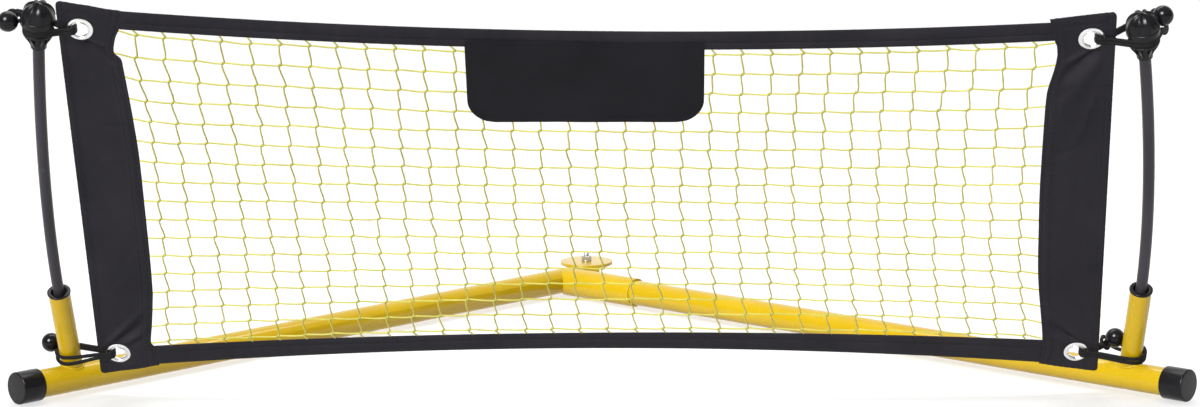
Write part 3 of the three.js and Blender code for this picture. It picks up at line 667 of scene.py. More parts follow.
def makePost(side, start, way, reach, bend, raised):
    left = side < 0
    word = "left" if left else "right"
    armBody, poleBody = ("left_arm", "left_pole") if left else ("base", "right_pole")
    lf, lo = rad(post["leanForward"]), rad(post["leanOutward"])
    up = Vector((side * math.sin(lo) * math.cos(lf), -math.sin(lf), math.cos(lo) * math.cos(lf)))
    foot = start + way * (reach - post["setBack"]) * mm + upZ * armRadius * mm
    inward = Vector((-side, 0, 0))
    inward = (inward - up * inward.dot(up)).normalized()
    front = inward.cross(up) if left else up.cross(inward)
    r, bore = post["outer"] / 2, post["outer"] / 2 - post["wall"]
    stub = moved(turned(pipeProfile(r, bore, -15, post["rise"], 0.6)), along(up, foot))
    stub = carved(stub, moved(bar(armRadius + base["gap"], reach - 300, reach, 72), along(way, start)))
    # the cut leaves a scrap under the arm, which is taken away
    low = [v for v in stub.verts if (v.co - foot).dot(up) < -0.012 and v.co.z < start.z - 0.004]
    bmesh.ops.delete(stub, geom=low, context="VERTS")
    pieceFrom(word + "Stub", stub, yellowCoat, armBody, [word + "_stub"])
    weldBead(word + "StubWeld", r, foot, up, way, start, armBody)

    mouth = foot + up * (post["rise"] + post["flangeThick"]) * mm
    body, flange = bore - base["gap"], post["flange"] / 2
    collar = [(post["mouth"] / 2, 0), (flange, 0), (flange, -post["flangeThick"]), (body, -post["flangeThick"]),
              (body, -post["collarDepth"]), (poleBore, -post["collarDepth"]), (poleBore, -post["mouthDepth"])]
    pieceFrom(word + "Collar", moved(turned(rounded(collar, 0.9), 80), along(up, mouth)), blackPlastic, armBody,
              [word + "_collar"])

    free, held = post["poleLength"] - post["poleDepth"] + raised, post["poleDepth"] - raised
    power = post["bendPower"]
    straight = free + top["socketEnd"] - 6
    atStraight = bend / (1 + power * (free - straight) / straight)

    def poleAt(h):
        # a growing bend up to the pole top's socket, and straight on from there
        if h < straight:
            lean = atStraight * (max(h, 0) / straight) ** power
        else:
            lean = atStraight * (1 + power * (h - straight) / straight)
        return mouth + up * h * mm + inward * lean * mm

    tip = poleAt(free)
    tipWay = (tip - poleAt(straight)).normalized()
    stations = [poleAt(-held), *(poleAt(h) for h in np.linspace(-6, straight, 60)),
                tip + tipWay * (top["socketEnd"] + 2) * mm, tip + tipWay * top["poleStop"] * mm]
    cordPiece(word + "Pole", [stations], post["pole"] / 2, 14, poleGrey, poleBody, [word + "_pole"])
    square = (inward - tipWay * inward.dot(tipWay)).normalized()
    makePoleTop(word + "PoleTop", basis(square, tipWay.cross(square), tipWay, tip), poleBody, word + "_pole_top")
    return {"up": up, "foot": foot, "inward": inward, "front": front, "tip": tip, "tipWay": tipWay}


leftPost = makePost(-1, leftStart, leftWay, base["leftReach"], post["leftBend"], post["leftRaised"])
rightPost = makePost(1, rightStart, rightWay, base["rightReach"], post["rightBend"], 0)
print("posts made")

# the leaning plane of the net: across, up the slope, and out towards the ball
net = {"tilt": 28.2, "foot": -673.6, "lift": 2.9, "shift": 35, "band": 27}
planeUp = Vector((0, -math.sin(rad(net["tilt"])), math.cos(rad(net["tilt"]))))
planeFront = Vector((0, -math.cos(rad(net["tilt"])), -math.sin(rad(net["tilt"]))))
planeOrigin = Vector((net["shift"], net["foot"], net["lift"])) * mm


def onPlane(u, v, d=0.0):
    return planeOrigin + Vector((u * mm, 0, 0)) + planeUp * v * mm + planeFront * d * mm


def planeFrame(u, v, d=0.0):
    return basis(Vector((1, 0, 0)), planeUp, planeFront, onPlane(u, v, d))


def topEdge(u):
    return 584.5 + 6.38e-5 * (u - 150) ** 2


def topInner(u):
    return topEdge(u) - net["band"]


def bottomInner(u):
    return 97 - 5.1e-5 * (u - 45) ** 2


def bottomEdge(u):
    return 70 - 7.5e-5 * (u + 10) ** 2


def edgeTable(points):
    # a smooth curve through the points of a panel's inner edge, kept as v and u
    pts, route = np.array(points, float), []
    for a, b, c, d in zip([pts[0], *pts], pts, pts[1:], [*pts[2:], pts[-1]]):
        v0, v1 = (c - a) / 2, (d - b) / 2
        for t in np.linspace(0, 1, 24, endpoint=False):
            route.append((2 * b - 2 * c + v0 + v1) * t ** 3 + (3 * c - 3 * b - 2 * v0 - v1) * t ** 2 + v0 * t + b)
    route = np.array([*route, pts[-1]])
    return route[:, 1], route[:, 0]


leftInner = edgeTable([(-596, 28), (-598, 71), (-603, 79), (-602, 93), (-598.5, 114), (-593.6, 151), (-591.2, 176),
                       (-588.8, 230), (-586.5, 314), (-584.7, 396), (-586, 458), (-587.9, 504), (-589.3, 532),
                       (-589.9, 544), (-592, 549), (-596, 553), (-598.3, 559), (-596.4, 570), (-593.3, 581),
                       (-588, 592), (-577, 622)])
rightInner = edgeTable([(586, 28), (591, 71), (589.4, 79), (586.3, 105), (581.5, 139), (576.4, 177), (572.8, 214),
                        (570, 260), (566, 330), (563.5, 418), (562.6, 476), (564, 497), (567.5, 515), (570, 530),
                        (571.2, 546), (569.5, 560), (566.4, 568), (564.2, 584), (560, 593), (556, 606)])


def acrossAt(edge, v):
    return float(np.interp(v, edge[0], edge[1]))


eyelets = {"top_left": (-636, 593), "top_right": (611, 571.8), "bottom_left": (-649, 64), "bottom_right": (635, 62)}


def gathers(*pieces):
    # gives each piece of the net its own copy of its mesh data
    for obj in pieces:
        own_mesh(obj)


def clothPiece(name, grid, at, thick, depth, cloth, cadNode, holes=()):
    # a grid over [0, 1] x [0, 1]; at(s, t) is the place on the plane, thick and depth are in mm
    bm = bmesh.new()
    bmesh.ops.create_grid(bm, x_segments=grid[0], y_segments=grid[1], size=0.5)
    spots = {v: (v.co.x + 0.5, v.co.y + 0.5) for v in bm.verts}
    places = {v: at(*st) for v, st in spots.items()}
    gone = []
    for f in bm.faces:
        mid = [sum(places[v][k] for v in f.verts) / len(f.verts) for k in (0, 1)]
        if any(math.hypot(mid[0] - u, mid[1] - v) < radius for u, v, radius in holes):
            gone.append(f)
    bmesh.ops.delete(bm, geom=gone, context="FACES")
    uvLayer = bm.loops.layers.uv.new("UVMap")
    for f in bm.faces:
        for corner in f.loops:
            corner[uvLayer].uv = [x * mm for x in places[corner.vert]]
    spotKey = lambda v: tuple(round(c, 7) for c in v.co)
    fronts = {spotKey(v): v for v in bm.verts}
    backs = newVerts(bmesh.ops.extrude_face_region(bm, geom=list(bm.faces)))
    for front, back in [(fronts[spotKey(v)], v) for v in backs]:
        (u, v), (s, t) = places[front], spots[front]
        d, th = depth(u, v, s, t), thick(u, v, s, t)
        back.co = onPlane(u, v, d + th / 2)
        front.co = onPlane(u, v, d - th / 2)
    bmesh.ops.recalc_face_normals(bm, faces=bm.faces)
    return pieceFrom(name, bm, cloth, "base", [cadNode], 50)


# folds that start beside an eyelet: which one, start beside its middle, direction in degrees, height, half width, reach
pulls = {-1: [(0, 3, -15, -24, 4.4, 3.6, 90), (0, 0, -17, -41, -7.0, 8, 95), (0, -16, -28, -44, 4.6, 12, 150),
              (0, -14, -70, -30, 1.2, 7, 70), (0, 8, -150, -4, -1.3, 3.5, 45), (0, 4, -205, 4, 1.3, 4, 40),
              (1, -16, 15, 46, 4.2, 3.8, 95), (1, -2, 16, 42, -4.4, 4.8, 85), (1, 9, 17, 33, 4.0, 3.8, 65),
              (1, 16, 13, 21, -3.6, 4.5, 50), (1, 2, 110, 65, -1.2, 8, 90)],
         1: [(0, 6, -12, -145, 4.6, 3.8, 90), (0, 10, -16, -132, -6.4, 7, 85), (0, 13, -30, -121, 4.2, 10, 160),
             (0, -16, -72, -138, -2.6, 7, 45), (0, 13, -85, -103, 2.2, 5, 80), (0, 0, -165, -150, -1.5, 5, 50),
             (0, -6, -215, -95, 1.4, 7, 80), (1, 14, 16, 139, 4.2, 4.2, 105), (1, 4, 15, 143, -4.4, 6, 95),
             (1, -9, 15, 153, 2.6, 4, 50), (1, 12, 60, 118, -1.8, 7, 90), (1, 4, 130, 96, 1.4, 7, 80)]}


def panelFolds(side, eyes):
    def folds(u, v, s, t):
        d = 0.0
        for k, du, dv, degrees, high, wide, reach in pulls[side]:
            x, y = u - eyes[k][0] - du, v - eyes[k][1] - dv
            c, n = math.cos(rad(degrees)), math.sin(rad(degrees))
            far, off = x * c + y * n, y * c - x * n
            spread = wide * (0.8 + max(far, 0) / 130)
            if far > -10 and abs(off) < 3 * spread:
                d += high * ease(far, -10, 16) * math.exp(-max(far, 0) / reach) * math.exp(-(off / spread) ** 2)
        d += 1.9 * math.sin(math.pi * s) * math.sin(0.013 * v + side) * ease(t, 0.02, 0.2) * ease(1 - t, 0.02, 0.2)
        d += 0.8 * math.sin(0.05 * u + 0.021 * v + 1.2 * math.sin(0.017 * v)) * math.sin(math.pi * s)
        return d * ease(min(math.hypot(u - eu, v - ev) for eu, ev in eyes), 14.5, 24)
    return folds


panels = {"grid": (72, 230), "width": 84, "height": 600, "body": 1.1, "hem": 2.7, "outerHem": 11, "innerHem": 16.5,
          "endHem": 12, "corner": 7, "innerSeams": (4.5, 14.0), "outerSeam": 9.0, "endSeams": 9.5, "sunk": 0.5,
          "hole": 12}


def makePanel(side, edge, outerLow, outerHigh, low, high, cadNode):
    p, wide = panels, panels["width"]
    eyes = [eyelets[row + ("_left" if side < 0 else "_right")] for row in ("top", "bottom")]

    def at(s, t):
        vLow, vHigh = mix(*low, s), mix(*high, s)
        v = mix(vLow, vHigh, t)
        outer = outerLow + (outerHigh - outerLow) * (v - low[0]) / (high[0] - low[0])
        inner = acrossAt(edge, v)
        u = outer + (inner - outer) * s
        # round the two outer corners
        a, r = abs(u - outer), p["corner"]
        for b, way in ((vHigh - v, 1), (v - vLow, -1)):
            if a < r and b < r:
                dx, dy = r - a, r - b
                far = math.hypot(dx, dy)
                if far > r:
                    u = outer + math.copysign(r - dx * r / far, inner - outer)
                    v = (vHigh - (r - dy * r / far)) if way > 0 else (vLow + (r - dy * r / far))
        return u, v

    folds = panelFolds(side, eyes)

    def seamDip(s):
        # the cloth is drawn in along each row of stitches
        near = [abs((1 - s) * wide - x) for x in p["innerSeams"]] + [abs(s * wide - p["outerSeam"])]
        return p["sunk"] * math.exp(-(min(near) / 1.6) ** 2)

    def hemOf(s, t):
        ways = ((s * wide, "outerHem"), ((1 - s) * wide, "innerHem"), (min(t, 1 - t) * p["height"], "endHem"))
        return max(1 - ease(far, p[hem] - 1, p[hem] + 1) for far, hem in ways)

    def thick(u, v, s, t):
        rim = min(min(s, 1 - s) * wide, min(t, 1 - t) * p["height"])
        flat = mix(p["body"], p["hem"], hemOf(s, t))
        return flat * (0.55 + 0.45 * ease(rim, 0, 1.6)) * (1 - seamDip(s))

    def depth(u, v, s, t):
        outer, inner = s * wide, (1 - s) * wide
        pucker = 0.34 * math.sin(v * 0.75 + 1.5 * math.sin(v * 0.11)) + 0.18 * math.sin(u * 0.8 + v * 0.3)
        return (folds(u, v, s, t) * (0.3 + 0.7 * ease(outer, 0, 10)) * ease(inner, 4, 22)
                + hemOf(s, t) * pucker * ease(inner, 2.5, 9))

    name, end = "leftPanel" if side < 0 else "rightPanel", p["endSeams"] / p["height"]
    obj = clothPiece(name, p["grid"], at, thick, depth, borderCloth, cadNode, [(*eye, p["hole"]) for eye in eyes])
    upright = [1 - x / wide for x in p["innerSeams"]] + [p["outerSeam"] / wide]
    seams = [[(s, t) for t in np.linspace(0.02, 0.98, 800)] for s in upright]
    seams += [[(s, t) for s in np.linspace(0.12, 0.97, 120)] for t in (end, 1 - end)]
    return obj, [[onCloth(s, t, at, thick, depth) for s, t in seam] for seam in seams]


sewing = {"stitch": 3.1, "pause": 1.1, "thread": 0.48, "ends": -0.25, "middle": 0.16}


def onCloth(s, t, at, thick, depth):
    # a place on the cloth's front face, as u, v and d
    u, v = at(s, t)
    return u, v, depth(u, v, s, t) + thick(u, v, s, t) / 2


def stitching(name, lines):
    # each stitch is a short thread that dips into the cloth at both ends
    w, dashes = sewing, []
    for row in lines:
        pts = [Vector(p) for p in row]
        far = [0.0]
        for a, b in zip(pts, pts[1:]):
            far.append(far[-1] + (b - a).length)
        columns = [[p[k] for p in pts] for k in range(3)]
        start, step = 0.0, w["stitch"] + w["pause"]
        for _ in range(int(far[-1] // step)):
            dash = []
            for share, dip in ((0, w["ends"]), (0.25, w["middle"]), (0.75, w["middle"]), (1, w["ends"])):
                u, v, d = (float(np.interp(start + share * w["stitch"], far, column)) for column in columns)
                dash.append(onPlane(u, v, d + dip))
            dashes.append(dash)
            start += step
    return cordPiece(name, dashes, w["thread"] / 2, 0, sewingThread, "base")


leftPanel, leftLines = makePanel(-1, leftInner, -677, -662, (27, 42), (635, 618), "left_panel")
rightPanel, rightLines = makePanel(1, rightInner, 667, 639, (27, 41), (611, 600), "right_panel")
leftStitches = stitching("leftPanelStitches", leftLines)
stitching("rightPanelStitches", rightLines)
gathers(leftPanel, leftStitches)
print("panels made")

bands = {"grid": (620, 22), "seam": 10, "roll": 3.6, "strip": 2.6, "thin": 0.9, "tuck": 13, "tucked": 1.0}


def makeBand(name, upper, lower, cadNode, outerFirst):
    b, wide = bands, net["band"]
    cut = wide - b["seam"]

    def ends(edge, side):
        u = -580.0 if side is leftInner else 570.0
        for _ in range(20):
            u = acrossAt(side, edge(u))
        return u

    lefts, rights = ([ends(e, side) + out * b["tuck"] for e in (lower, upper)]
                     for side, out in ((leftInner, -1), (rightInner, 1)))
    long = rights[0] - lefts[0]

    def at(s, t):
        u = mix(mix(*lefts, t), mix(*rights, t), s)
        return u, mix(lower(u), upper(u), t)

    def depth(u, v, s, t):
        calm = ease(min(s, 1 - s) * long, b["tuck"] + 1, b["tuck"] + 40)
        waves = 0.30 * math.sin(u * 0.31 + 1.3 * math.sin(u * 0.045)) + 0.8 * math.sin(u * 0.019 + 0.6)
        return waves * math.sin(math.pi * t) * calm

    def thick(u, v, s, t):
        # a soft roll on the outer side of the seam and a flatter strip on the net's side
        w = (t if outerFirst else 1 - t) * wide
        roll = b["roll"] * math.sqrt(max(1 - ((w - cut / 2) / (cut / 2 + 0.2)) ** 2, 0.03)) if w < cut else 0
        strip = b["strip"] * (0.45 + 0.55 * ease(wide - w, 0, 2.5)) * ease(w, cut - 0.5, cut + 2.5)
        th = max(roll, strip, b["thin"])
        tucked = 1 - ease(min(s, 1 - s) * long, b["tuck"] - 1.5, b["tuck"] + 2.5)
        return mix(th, min(b["tucked"], th), tucked)

    obj = clothPiece(name, b["grid"], at, thick, depth, borderCloth, cadNode)
    t = (cut if outerFirst else b["seam"]) / wide
    row = [onCloth(s, t, at, thick, depth) for s in np.linspace(0.0135, 0.9865, 1400)]
    thread = stitching(name + "Stitches", [row])
    gathers(obj, thread)


makeBand("topBand", topEdge, topInner, "top_band", False)
makeBand("bottomBand", bottomInner, bottomEdge, "bottom_band", True)

patch = {"grid": (150, 70), "left": -162, "right": 135, "low": 449, "high": 118, "radius": 34, "lap": 9, "thick": 1.7,
         "hem": 0.5, "seam": 4.5, "stand": 2.35, "leastWave": -0.35}


def makePatch():
    p = patch

    def at(s, t):
        v = mix(p["low"], topInner(mix(p["left"], p["right"], s)) + p["lap"], t)
        # the two lower corners are round
        r, short = p["radius"], max(p["radius"] - (v - p["low"]), 0)
        pull = r - math.sqrt(max(r ** 2 - short ** 2, 0))
        return mix(p["left"] + pull, p["right"] - pull, s), v

    def thick(u, v, s, t):
        rim = min(min(s, 1 - s) * (p["right"] - p["left"]), t * p["high"])
        return p["thick"] + p["hem"] * (1 - ease(rim, 6, 8)) - 0.7 * (1 - ease(rim, 0, 1.5))

    def depth(u, v, s, t):
        wave = (math.sin(u * 0.018 + 0.4) + 0.35 * math.sin(u * 0.05 + v * 0.02)) * (1 - t)
        return p["stand"] + max(wave, p["leastWave"])

    obj = clothPiece("centrePatch", p["grid"], at, thick, depth, patchCloth, "centre_patch")
    edge, row, quarter = p["seam"], [], np.linspace(0, math.pi / 2, 16)
    left, right, low, r = p["left"] + edge, p["right"] - edge, p["low"] + edge, p["radius"] - edge
    outline = [(left, v) for v in np.linspace(topInner(left) + 4, low + r, 50)]
    outline += [(left + r - r * math.cos(a), low + r - r * math.sin(a)) for a in quarter]
    outline += [(u, low) for u in np.linspace(left + r, right - r, 90)]
    outline += [(right - r + r * math.sin(a), low + r - r * math.cos(a)) for a in quarter]
    outline += [(right, v) for v in np.linspace(low + r, topInner(right) + 4, 50)]
    for u, v in outline:
        t = (v - p["low"]) / (topInner(u) + p["lap"] - p["low"])
        row.append((u, v, depth(u, v, 0.5, t) + p["thick"] / 2 + 0.25))
    upper = [(float(u), topInner(u) + 3.5) for u in np.linspace(p["left"] + 4, p["right"] - 4, 200)]
    rows = [row, [(u, v, depth(u, v, 0.5, 0.95) + p["thick"] / 2) for u, v in upper]]
    thread = stitching("patchStitches", rows)
    gathers(obj, thread)


makePatch()
print("bands and patch made")

netting = {"columns": 32, "rows": 17, "cord": 2.3, "knot": 2.5, "knotShape": (1.36, 0.74, 0.68), "knotTurn": (30, 58),
           "lean": 1.9, "step": 0.9, "leftGap": 20, "rightGap": 24, "bulge": -7, "topPitch": 1.09, "topLead": 0.28,
           "lowLead": 0.26, "fan": 5, "tuck": 2.2, "behind": -0.9, "low": 95, "high": 557, "middle": 330}


def rowShares():
    # the rows stand a little wider apart near the top, where the net is drawn hardest
    m, total, marks = netting, netting["lowLead"], []
    for j in range(m["rows"]):
        marks.append(total)
        total += (2 - m["topPitch"]) + 2 * (m["topPitch"] - 1) * j / (m["rows"] - 1)
    return [x / (marks[-1] + m["topLead"]) for x in marks]


def netRun(chain, shares, bend):
    # one cord through a chain of knots; bend(k, share) moves it off the straight line between two of them
    run = [onPlane(*chain[0])]
    for k, (a, b) in enumerate(zip(chain, chain[1:])):
        shift = bend(k)
        for share in shares:
            run.append(onPlane(*(mix(x, y, share) + w for x, y, w in zip(a, b, shift(share)))))
    return run + [onPlane(*chain[-1])]


def makeNet():
    m, marks, heights = netting, rowShares(), np.linspace(60, 600, 61)
    smooth = lambda edge: [float(np.mean([acrossAt(edge, v + w) for w in (-36, -18, 0, 18, 36)])) for v in heights]
    leftSide, rightSide = smooth(leftInner), smooth(rightInner)
    edgeAt = lambda side, v: float(np.interp(v, heights, side))

    def columnAt(i, v):
        s = i / (m["columns"] - 1)
        a, b = edgeAt(leftSide, v) + m["leftGap"], edgeAt(rightSide, v) - m["rightGap"]
        share = min(max((v - m["low"]) / (m["high"] - m["low"]), 0), 1)
        return mix(a, b, s) + m["bulge"] * math.sin(math.pi * s) ** 0.6 * math.sin(math.pi * share)

    def settle(i, share):
        # each knot lies on its column and on its row's share of the height there
        u = columnAt(i, m["middle"])
        for _ in range(4):
            v = mix(bottomInner(u), topInner(u), share)
            u = columnAt(i, v)
        return u, v

    spots = {}
    for i in range(m["columns"]):
        for j in range(m["rows"]):
            u, v = settle(i, marks[j])
            spots[i, j] = (u + random.uniform(-1.6, 1.6), v + random.uniform(-1.0, 1.0), random.uniform(-0.4, 0.4))

    wave = lambda share: (math.cos(math.pi * share), math.sin(math.pi * share))

    def legBend(k):
        # a leg leaves each knot on its right side and reaches the next one on its left
        bow = random.uniform(-0.9, 0.9)
        return lambda share: (m["lean"] * wave(share)[0] + bow * wave(share)[1], 0, 0.5 * wave(share)[1])

    def rowBend(k):
        # and a row drops a little to the right between knots
        sag = random.uniform(0.2, 1.3) if 0 < k < m["columns"] else 0.3
        return lambda share: (0, m["step"] * wave(share)[0] - sag * wave(share)[1], -0.3 * wave(share)[1])

    routes = []
    for i in range(m["columns"]):
        low, high = settle(i, 0.0), settle(i, 1.0)
        chain = [(low[0] + 1.5, low[1] - 2, m["behind"]), *(spots[i, j] for j in range(m["rows"])),
                 (high[0] - 2.5, high[1] + 2, m["behind"])]
        routes.append(netRun(chain, (0.07, 0.34, 0.66, 0.93), legBend))
    for j in range(m["rows"]):
        knots = [spots[i, j] for i in range(m["columns"])]
        fan = m["fan"] * (2 * marks[j] - 1)
        vL, vR = knots[0][1] + fan, knots[-1][1] + fan
        chain = [(acrossAt(leftInner, vL) - m["tuck"], vL + 0.4 * fan, m["behind"]), *knots,
                 (acrossAt(rightInner, vR) + m["tuck"], vR + 0.3 * fan, m["behind"])]
        routes.append(netRun(chain, (0.08, 0.35, 0.65, 0.92), rowBend))
    cords = cordPiece("netCords", routes, m["cord"] / 2, 1, netCord, "base", ["net_mesh"])
    long = sum((b - a).length for run in routes for a, b in zip(run, run[1:]))

    bm = bmesh.new()
    for u, v, d in spots.values():
        vs = bmesh.ops.create_uvsphere(bm, u_segments=8, v_segments=5, radius=m["knot"] * mm)["verts"]
        bmesh.ops.scale(bm, vec=m["knotShape"], verts=vs)
        turn = Matrix.Rotation(rad(random.uniform(*m["knotTurn"])), 3, "Z")
        bmesh.ops.rotate(bm, cent=(0, 0, 0), matrix=turn, verts=vs)
        for w in vs:
            w.co *= 1 + 0.16 * math.sin(900 * w.co.x + 1300 * w.co.y + 5 * d)
        bmesh.ops.transform(bm, matrix=planeFrame(u, v, d), verts=vs)
    gathers(cords, pieceFrom("netKnots", bm, netCord, "base", (), 80))
    return len(spots), round(long, 1)


print("net made, knots and metres of cord:", makeNet())

eyelet = {"outer": 32, "hole": 19.4, "neck": 21.6, "seat": 1.15, "stand": 1.3, "flats": 0.03}


def wordOf(name):
    return name.replace("_", " ").title().replace(" ", "")


def makeEyelet(name):
    o = eyelet
    flat, high = o["seat"], o["seat"] + o["stand"]
    outer, hole, neck = o["outer"] / 2, o["hole"] / 2, o["neck"] / 2
    # an inner roll, a sunk ring round it and a domed flange
    front = [(hole, 0), (hole + 0.05, flat + 0.3), (hole + 0.35, high - 0.25), (hole + 0.8, high),
             (hole + 1.2, high - 0.35), (hole + 1.5, flat + 0.15), (hole + 1.8, flat + 0.1), (hole + 2.2, high - 0.6),
             (hole + 2.9, high - 0.1), (hole + 3.6, high), (outer - 1.4, high - 0.3), (outer - 0.6, high - 0.75),
             (outer, flat + 0.15), (outer - 0.1, flat), (neck, flat)]
    behind = [(neck, -flat), (outer - 0.6, -flat), (outer - 0.4, -flat - 0.5), (outer - 2.5, -high + 0.2),
              (hole + 1.2, -high), (hole + 0.3, -high + 0.5)]
    bm = turned(front + behind, 72)
    for v in bm.verts:
        # the roll is closed over in six flats
        if math.hypot(v.co.x, v.co.y) < (hole + 1.3) * mm:
            pinch = 1 - o["flats"] * math.cos(6 * math.atan2(v.co.y, v.co.x))
            v.co.x, v.co.y = v.co.x * pinch, v.co.y * pinch
    moved(bm, planeFrame(*eyelets[name]))
    obj = pieceFrom(wordOf(name) + "Eyelet", bm, nickelPlate, "base", ["eyelet_" + name], 50)
    if name.endswith("left"):
        gathers(obj)


loop = {"cord": 5, "ball": 26, "stem": 8, "stemEnd": 24, "lip": 0.9, "moulding": 0.12}


def makeLoop(name, corner, centre, up, postOuter, ball, stemAim, back, front, body):
    # back and front list the turns about the post: degrees, height, spread of the two strands, distance outside it
    o = loop
    eu, ev = eyelets[name]
    inwardHere = (corner["inward"] - up * corner["inward"].dot(up)).normalized()
    local = lambda w, d, a: centre + inwardHere * w * mm + corner["front"] * d * mm + up * a * mm
    ballAt = local(*ball)
    stemWay = (local(*stemAim) - ballAt).normalized()
    r, stem, cord = o["ball"] / 2, o["stem"] / 2, o["cord"] / 2
    arc = [(r * math.cos(a), r * math.sin(a)) for a in np.linspace(-math.pi / 2, math.acos(stem / r), 31)]
    # a fine moulding line runs round the ball's middle
    arc = [(0, -r)] + [(x + (o["moulding"] if abs(z) < 0.5 else 0), z) for x, z in arc[1:]]
    end, lip = o["stemEnd"], stem + o["lip"]
    tail = rounded([(stem, 12.6), (stem, end - 4), (lip, end - 2.4), (lip, end)], 0.5, only=(1, 2))
    bm = moved(turned(arc + tail[1:] + [(0, end)], 56), along(stemWay, ballAt, up))
    pieceFrom(wordOf(name) + "Ball", bm, ballPlastic, body, ["ball_" + name], 50)

    half, ring, hook = cord + 0.12, postOuter / 2 + cord + 0.9, stem + cord + 0.8
    across = math.copysign(1, centre.x - onPlane(eu, ev).x)
    hole = across * (eyelet["hole"] / 2 - cord - 1.1)
    around = lambda deg, a, extra=0: local((ring + extra) * math.cos(rad(deg)), (ring + extra) * math.sin(rad(deg)), a)
    lifted = (up - stemWay * up.dot(stemWay)).normalized()
    third = stemWay.cross(up).normalized()
    stemPoint = ballAt + stemWay * (r + cord + 1.5) * mm
    aroundStem = lambda a, k: stemPoint + lifted * a * mm + third * k * mm
    stemTip = ballAt + stemWay * (end + 0.15) * mm

    def strand(e):
        route = [stemTip + lifted * e * half * mm, stemTip + stemWay * 3 * mm + lifted * e * half * mm]
        route += [around(deg, a + e * half * spread, out) for deg, a, spread, out in back]
        for du, d in ((across * 22, -6.4), (hole + across * 3.4, -6.3), (hole + across * 0.6, -4.2), (hole, 0),
                      (hole + across * 0.6, 4.2), (hole + across * 3.4, 6.3), (across * 22, 6.4)):
            route.append(onPlane(eu + du, ev + e * half, d))
        route += [around(deg, a + e * half * spread, out) for deg, a, spread, out in front]
        route += [aroundStem(e * a * hook, k * hook) for a, k in ((0.5, 1.5), (0.8, 0.75), (1, 0), (0.72, -0.72))]
        return route

    route = smoothRoute(strand(1) + [aroundStem(0, -hook)] + strand(-1)[::-1], 8)
    cordPiece(wordOf(name) + "Loop", [route], cord, 5, stretchCord, body, ["loop_" + name])
    return sum((b - a).length for a, b in zip(route, route[1:]))


for name in eyelets:
    makeEyelet(name)

waistMiddle = top["rimTop"] - top["rimThick"] - top["waistHeight"] / 2
onPole = lambda p: (p, p["tip"] + p["tipWay"] * waistMiddle * mm, p["tipWay"], top["waist"])
onStub = lambda p, rise: (p, p["foot"] + p["up"] * rise * mm, p["up"], post["outer"])
lengths = [
    makeLoop("top_left", *onPole(leftPost), (-37, 3, 5), (-31, -20, 1.4), [(262, 0, 1, 0), (290, 0, 1, 0)],
             [(90, 0, 1, 0), (120, 0, 1, 0), (150, 0, 1, 0), (180, 0, 1, 0), (199, 0, 1.07, 4.8)], "left_pole"),
    makeLoop("top_right", *onPole(rightPost), (-27.4, -21.8, 11), (-16.6, -39.8, -0.5), [(270, 2.5, 1, 14)],
             [(90, 0, 1, 0), (127, 0, 1, 0), (165, 0, 1, 0), (196, -1, 1.07, 5.6), (209, -7.6, 1.2, 14.5),
              (221, -8, 1.5, 24)], "right_pole"),
    makeLoop("bottom_left", *onStub(leftPost, 20), (-28.5, -20, 1.5), (-11.1, -30.8, -11.3), [],
             [(85, 0.5, 2.1, 0), (120, 0, 2.1, 0), (150, 0, 2, 0), (180, -1, 1.6, 0), (208, -4, 1.3, 0),
              (230, -6.5, 1.2, 1.5)], "left_arm"),
    makeLoop("bottom_right", *onStub(rightPost, 19), (20.7, -20.2, 6.5), (38, -22.1, -10.1), [],
             [(85, -2, 1.3, 0), (123, -3, 1.4, 0), (162, -3, 1.4, 0), (201, -2, 1.2, 0), (238, -4, 1.15, 0),
              (268, -8, 1.1, 0.6), (290, -13, 1.6, 6), (306, -11.5, 2, 21)], "base"),
]
print("loop cord lengths, mm:", [round(x / mm) for x in lengths])

# the bush is out of sight, inside the left tube
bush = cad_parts["pivot_bush"]
bush.data.materials.clear()
bush.data.materials.append(zincPlate)

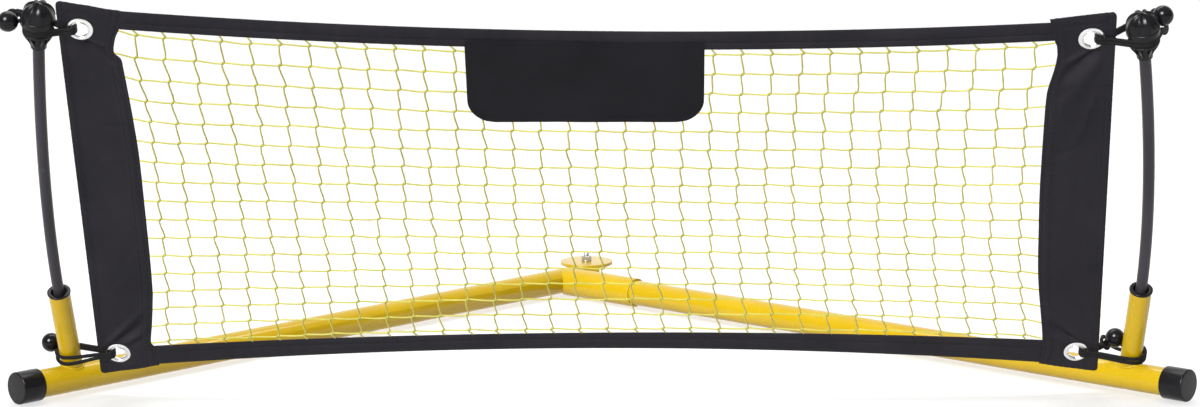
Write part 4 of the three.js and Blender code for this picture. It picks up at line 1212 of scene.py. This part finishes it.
studio = {"overhead": 0.55, "eyeLevel": 0.14, "behind": 1.3, "floor": 0.56, "lift": 0.08,
          "key": 6.0, "keyFrom": (-0.34, -0.75, 0.57), "keySpread": 25,
          "top": 30, "topAt": (-0.2, 0.2, 2.6), "topAim": (0, -0.45, 0), "topSize": (2.4, 0.5)}


def makeFloor():
    bm = bmesh.new()
    bmesh.ops.create_grid(bm, x_segments=1, y_segments=1, size=30)
    obj = linked("floor", meshOf(bm, "floor"))
    m, t, p = startMaterial("paleFloor", 0.8, Emission_Strength=studio["lift"], Emission_Color=(1, 1, 1, 1))
    shade = rangeOf(t, objectNoise(t, 1.3, 2.0), 0.3, 0.7, 0.0, 1.0)
    pale = studio["floor"]
    t.links.new(blended(t, shade, (pale - 0.02, pale - 0.02, pale - 0.015), (pale, pale, pale)), p.inputs["Base Color"])
    obj.data.materials.append(m)


def makeLamps():
    panel = bpy.data.lights.new("topLight", "AREA")
    panel.shape, panel.energy = "RECTANGLE", studio["top"]
    panel.size, panel.size_y = studio["topSize"]
    lamp = linked("topLight", panel)
    lamp.location = studio["topAt"]
    lamp.rotation_euler = (Vector(studio["topAim"]) - lamp.location).to_track_quat("-Z", "Y").to_euler()
    # a broad key from the left that casts no shadow, as in the photograph
    key = bpy.data.lights.new("keyLight", "SUN")
    key.energy, key.angle, key.use_shadow = studio["key"], rad(studio["keySpread"]), False
    linked("keyLight", key).rotation_euler = Vector(studio["keyFrom"]).to_track_quat("Z", "Y").to_euler()


def makeWorld():
    # a soft tent: bright overhead and behind, dim in front, so that sides and undersides keep their shape
    world = bpy.data.worlds.new("studio")
    world.use_nodes = True
    t = world.node_tree
    split = node(t, "ShaderNodeSeparateXYZ")
    t.links.new(node(t, "ShaderNodeTexCoord").outputs["Generated"], split.inputs[0])
    back = t.nodes["Background"]
    back.inputs["Color"].default_value = (1, 1, 1, 1)
    above = rangeOf(t, split.outputs[2], 0.0, 1.0, studio["eyeLevel"], studio["overhead"])
    behind = rangeOf(t, split.outputs[1], 0.1, 0.75, 0.0, studio["behind"])
    t.links.new(maths(t, "MAXIMUM", above, behind), back.inputs["Strength"])
    bpy.context.scene.world = world


makeFloor()
makeWorld()
makeLamps()
bpy.context.scene.view_settings.view_transform = "Standard"
print("floor and light set")
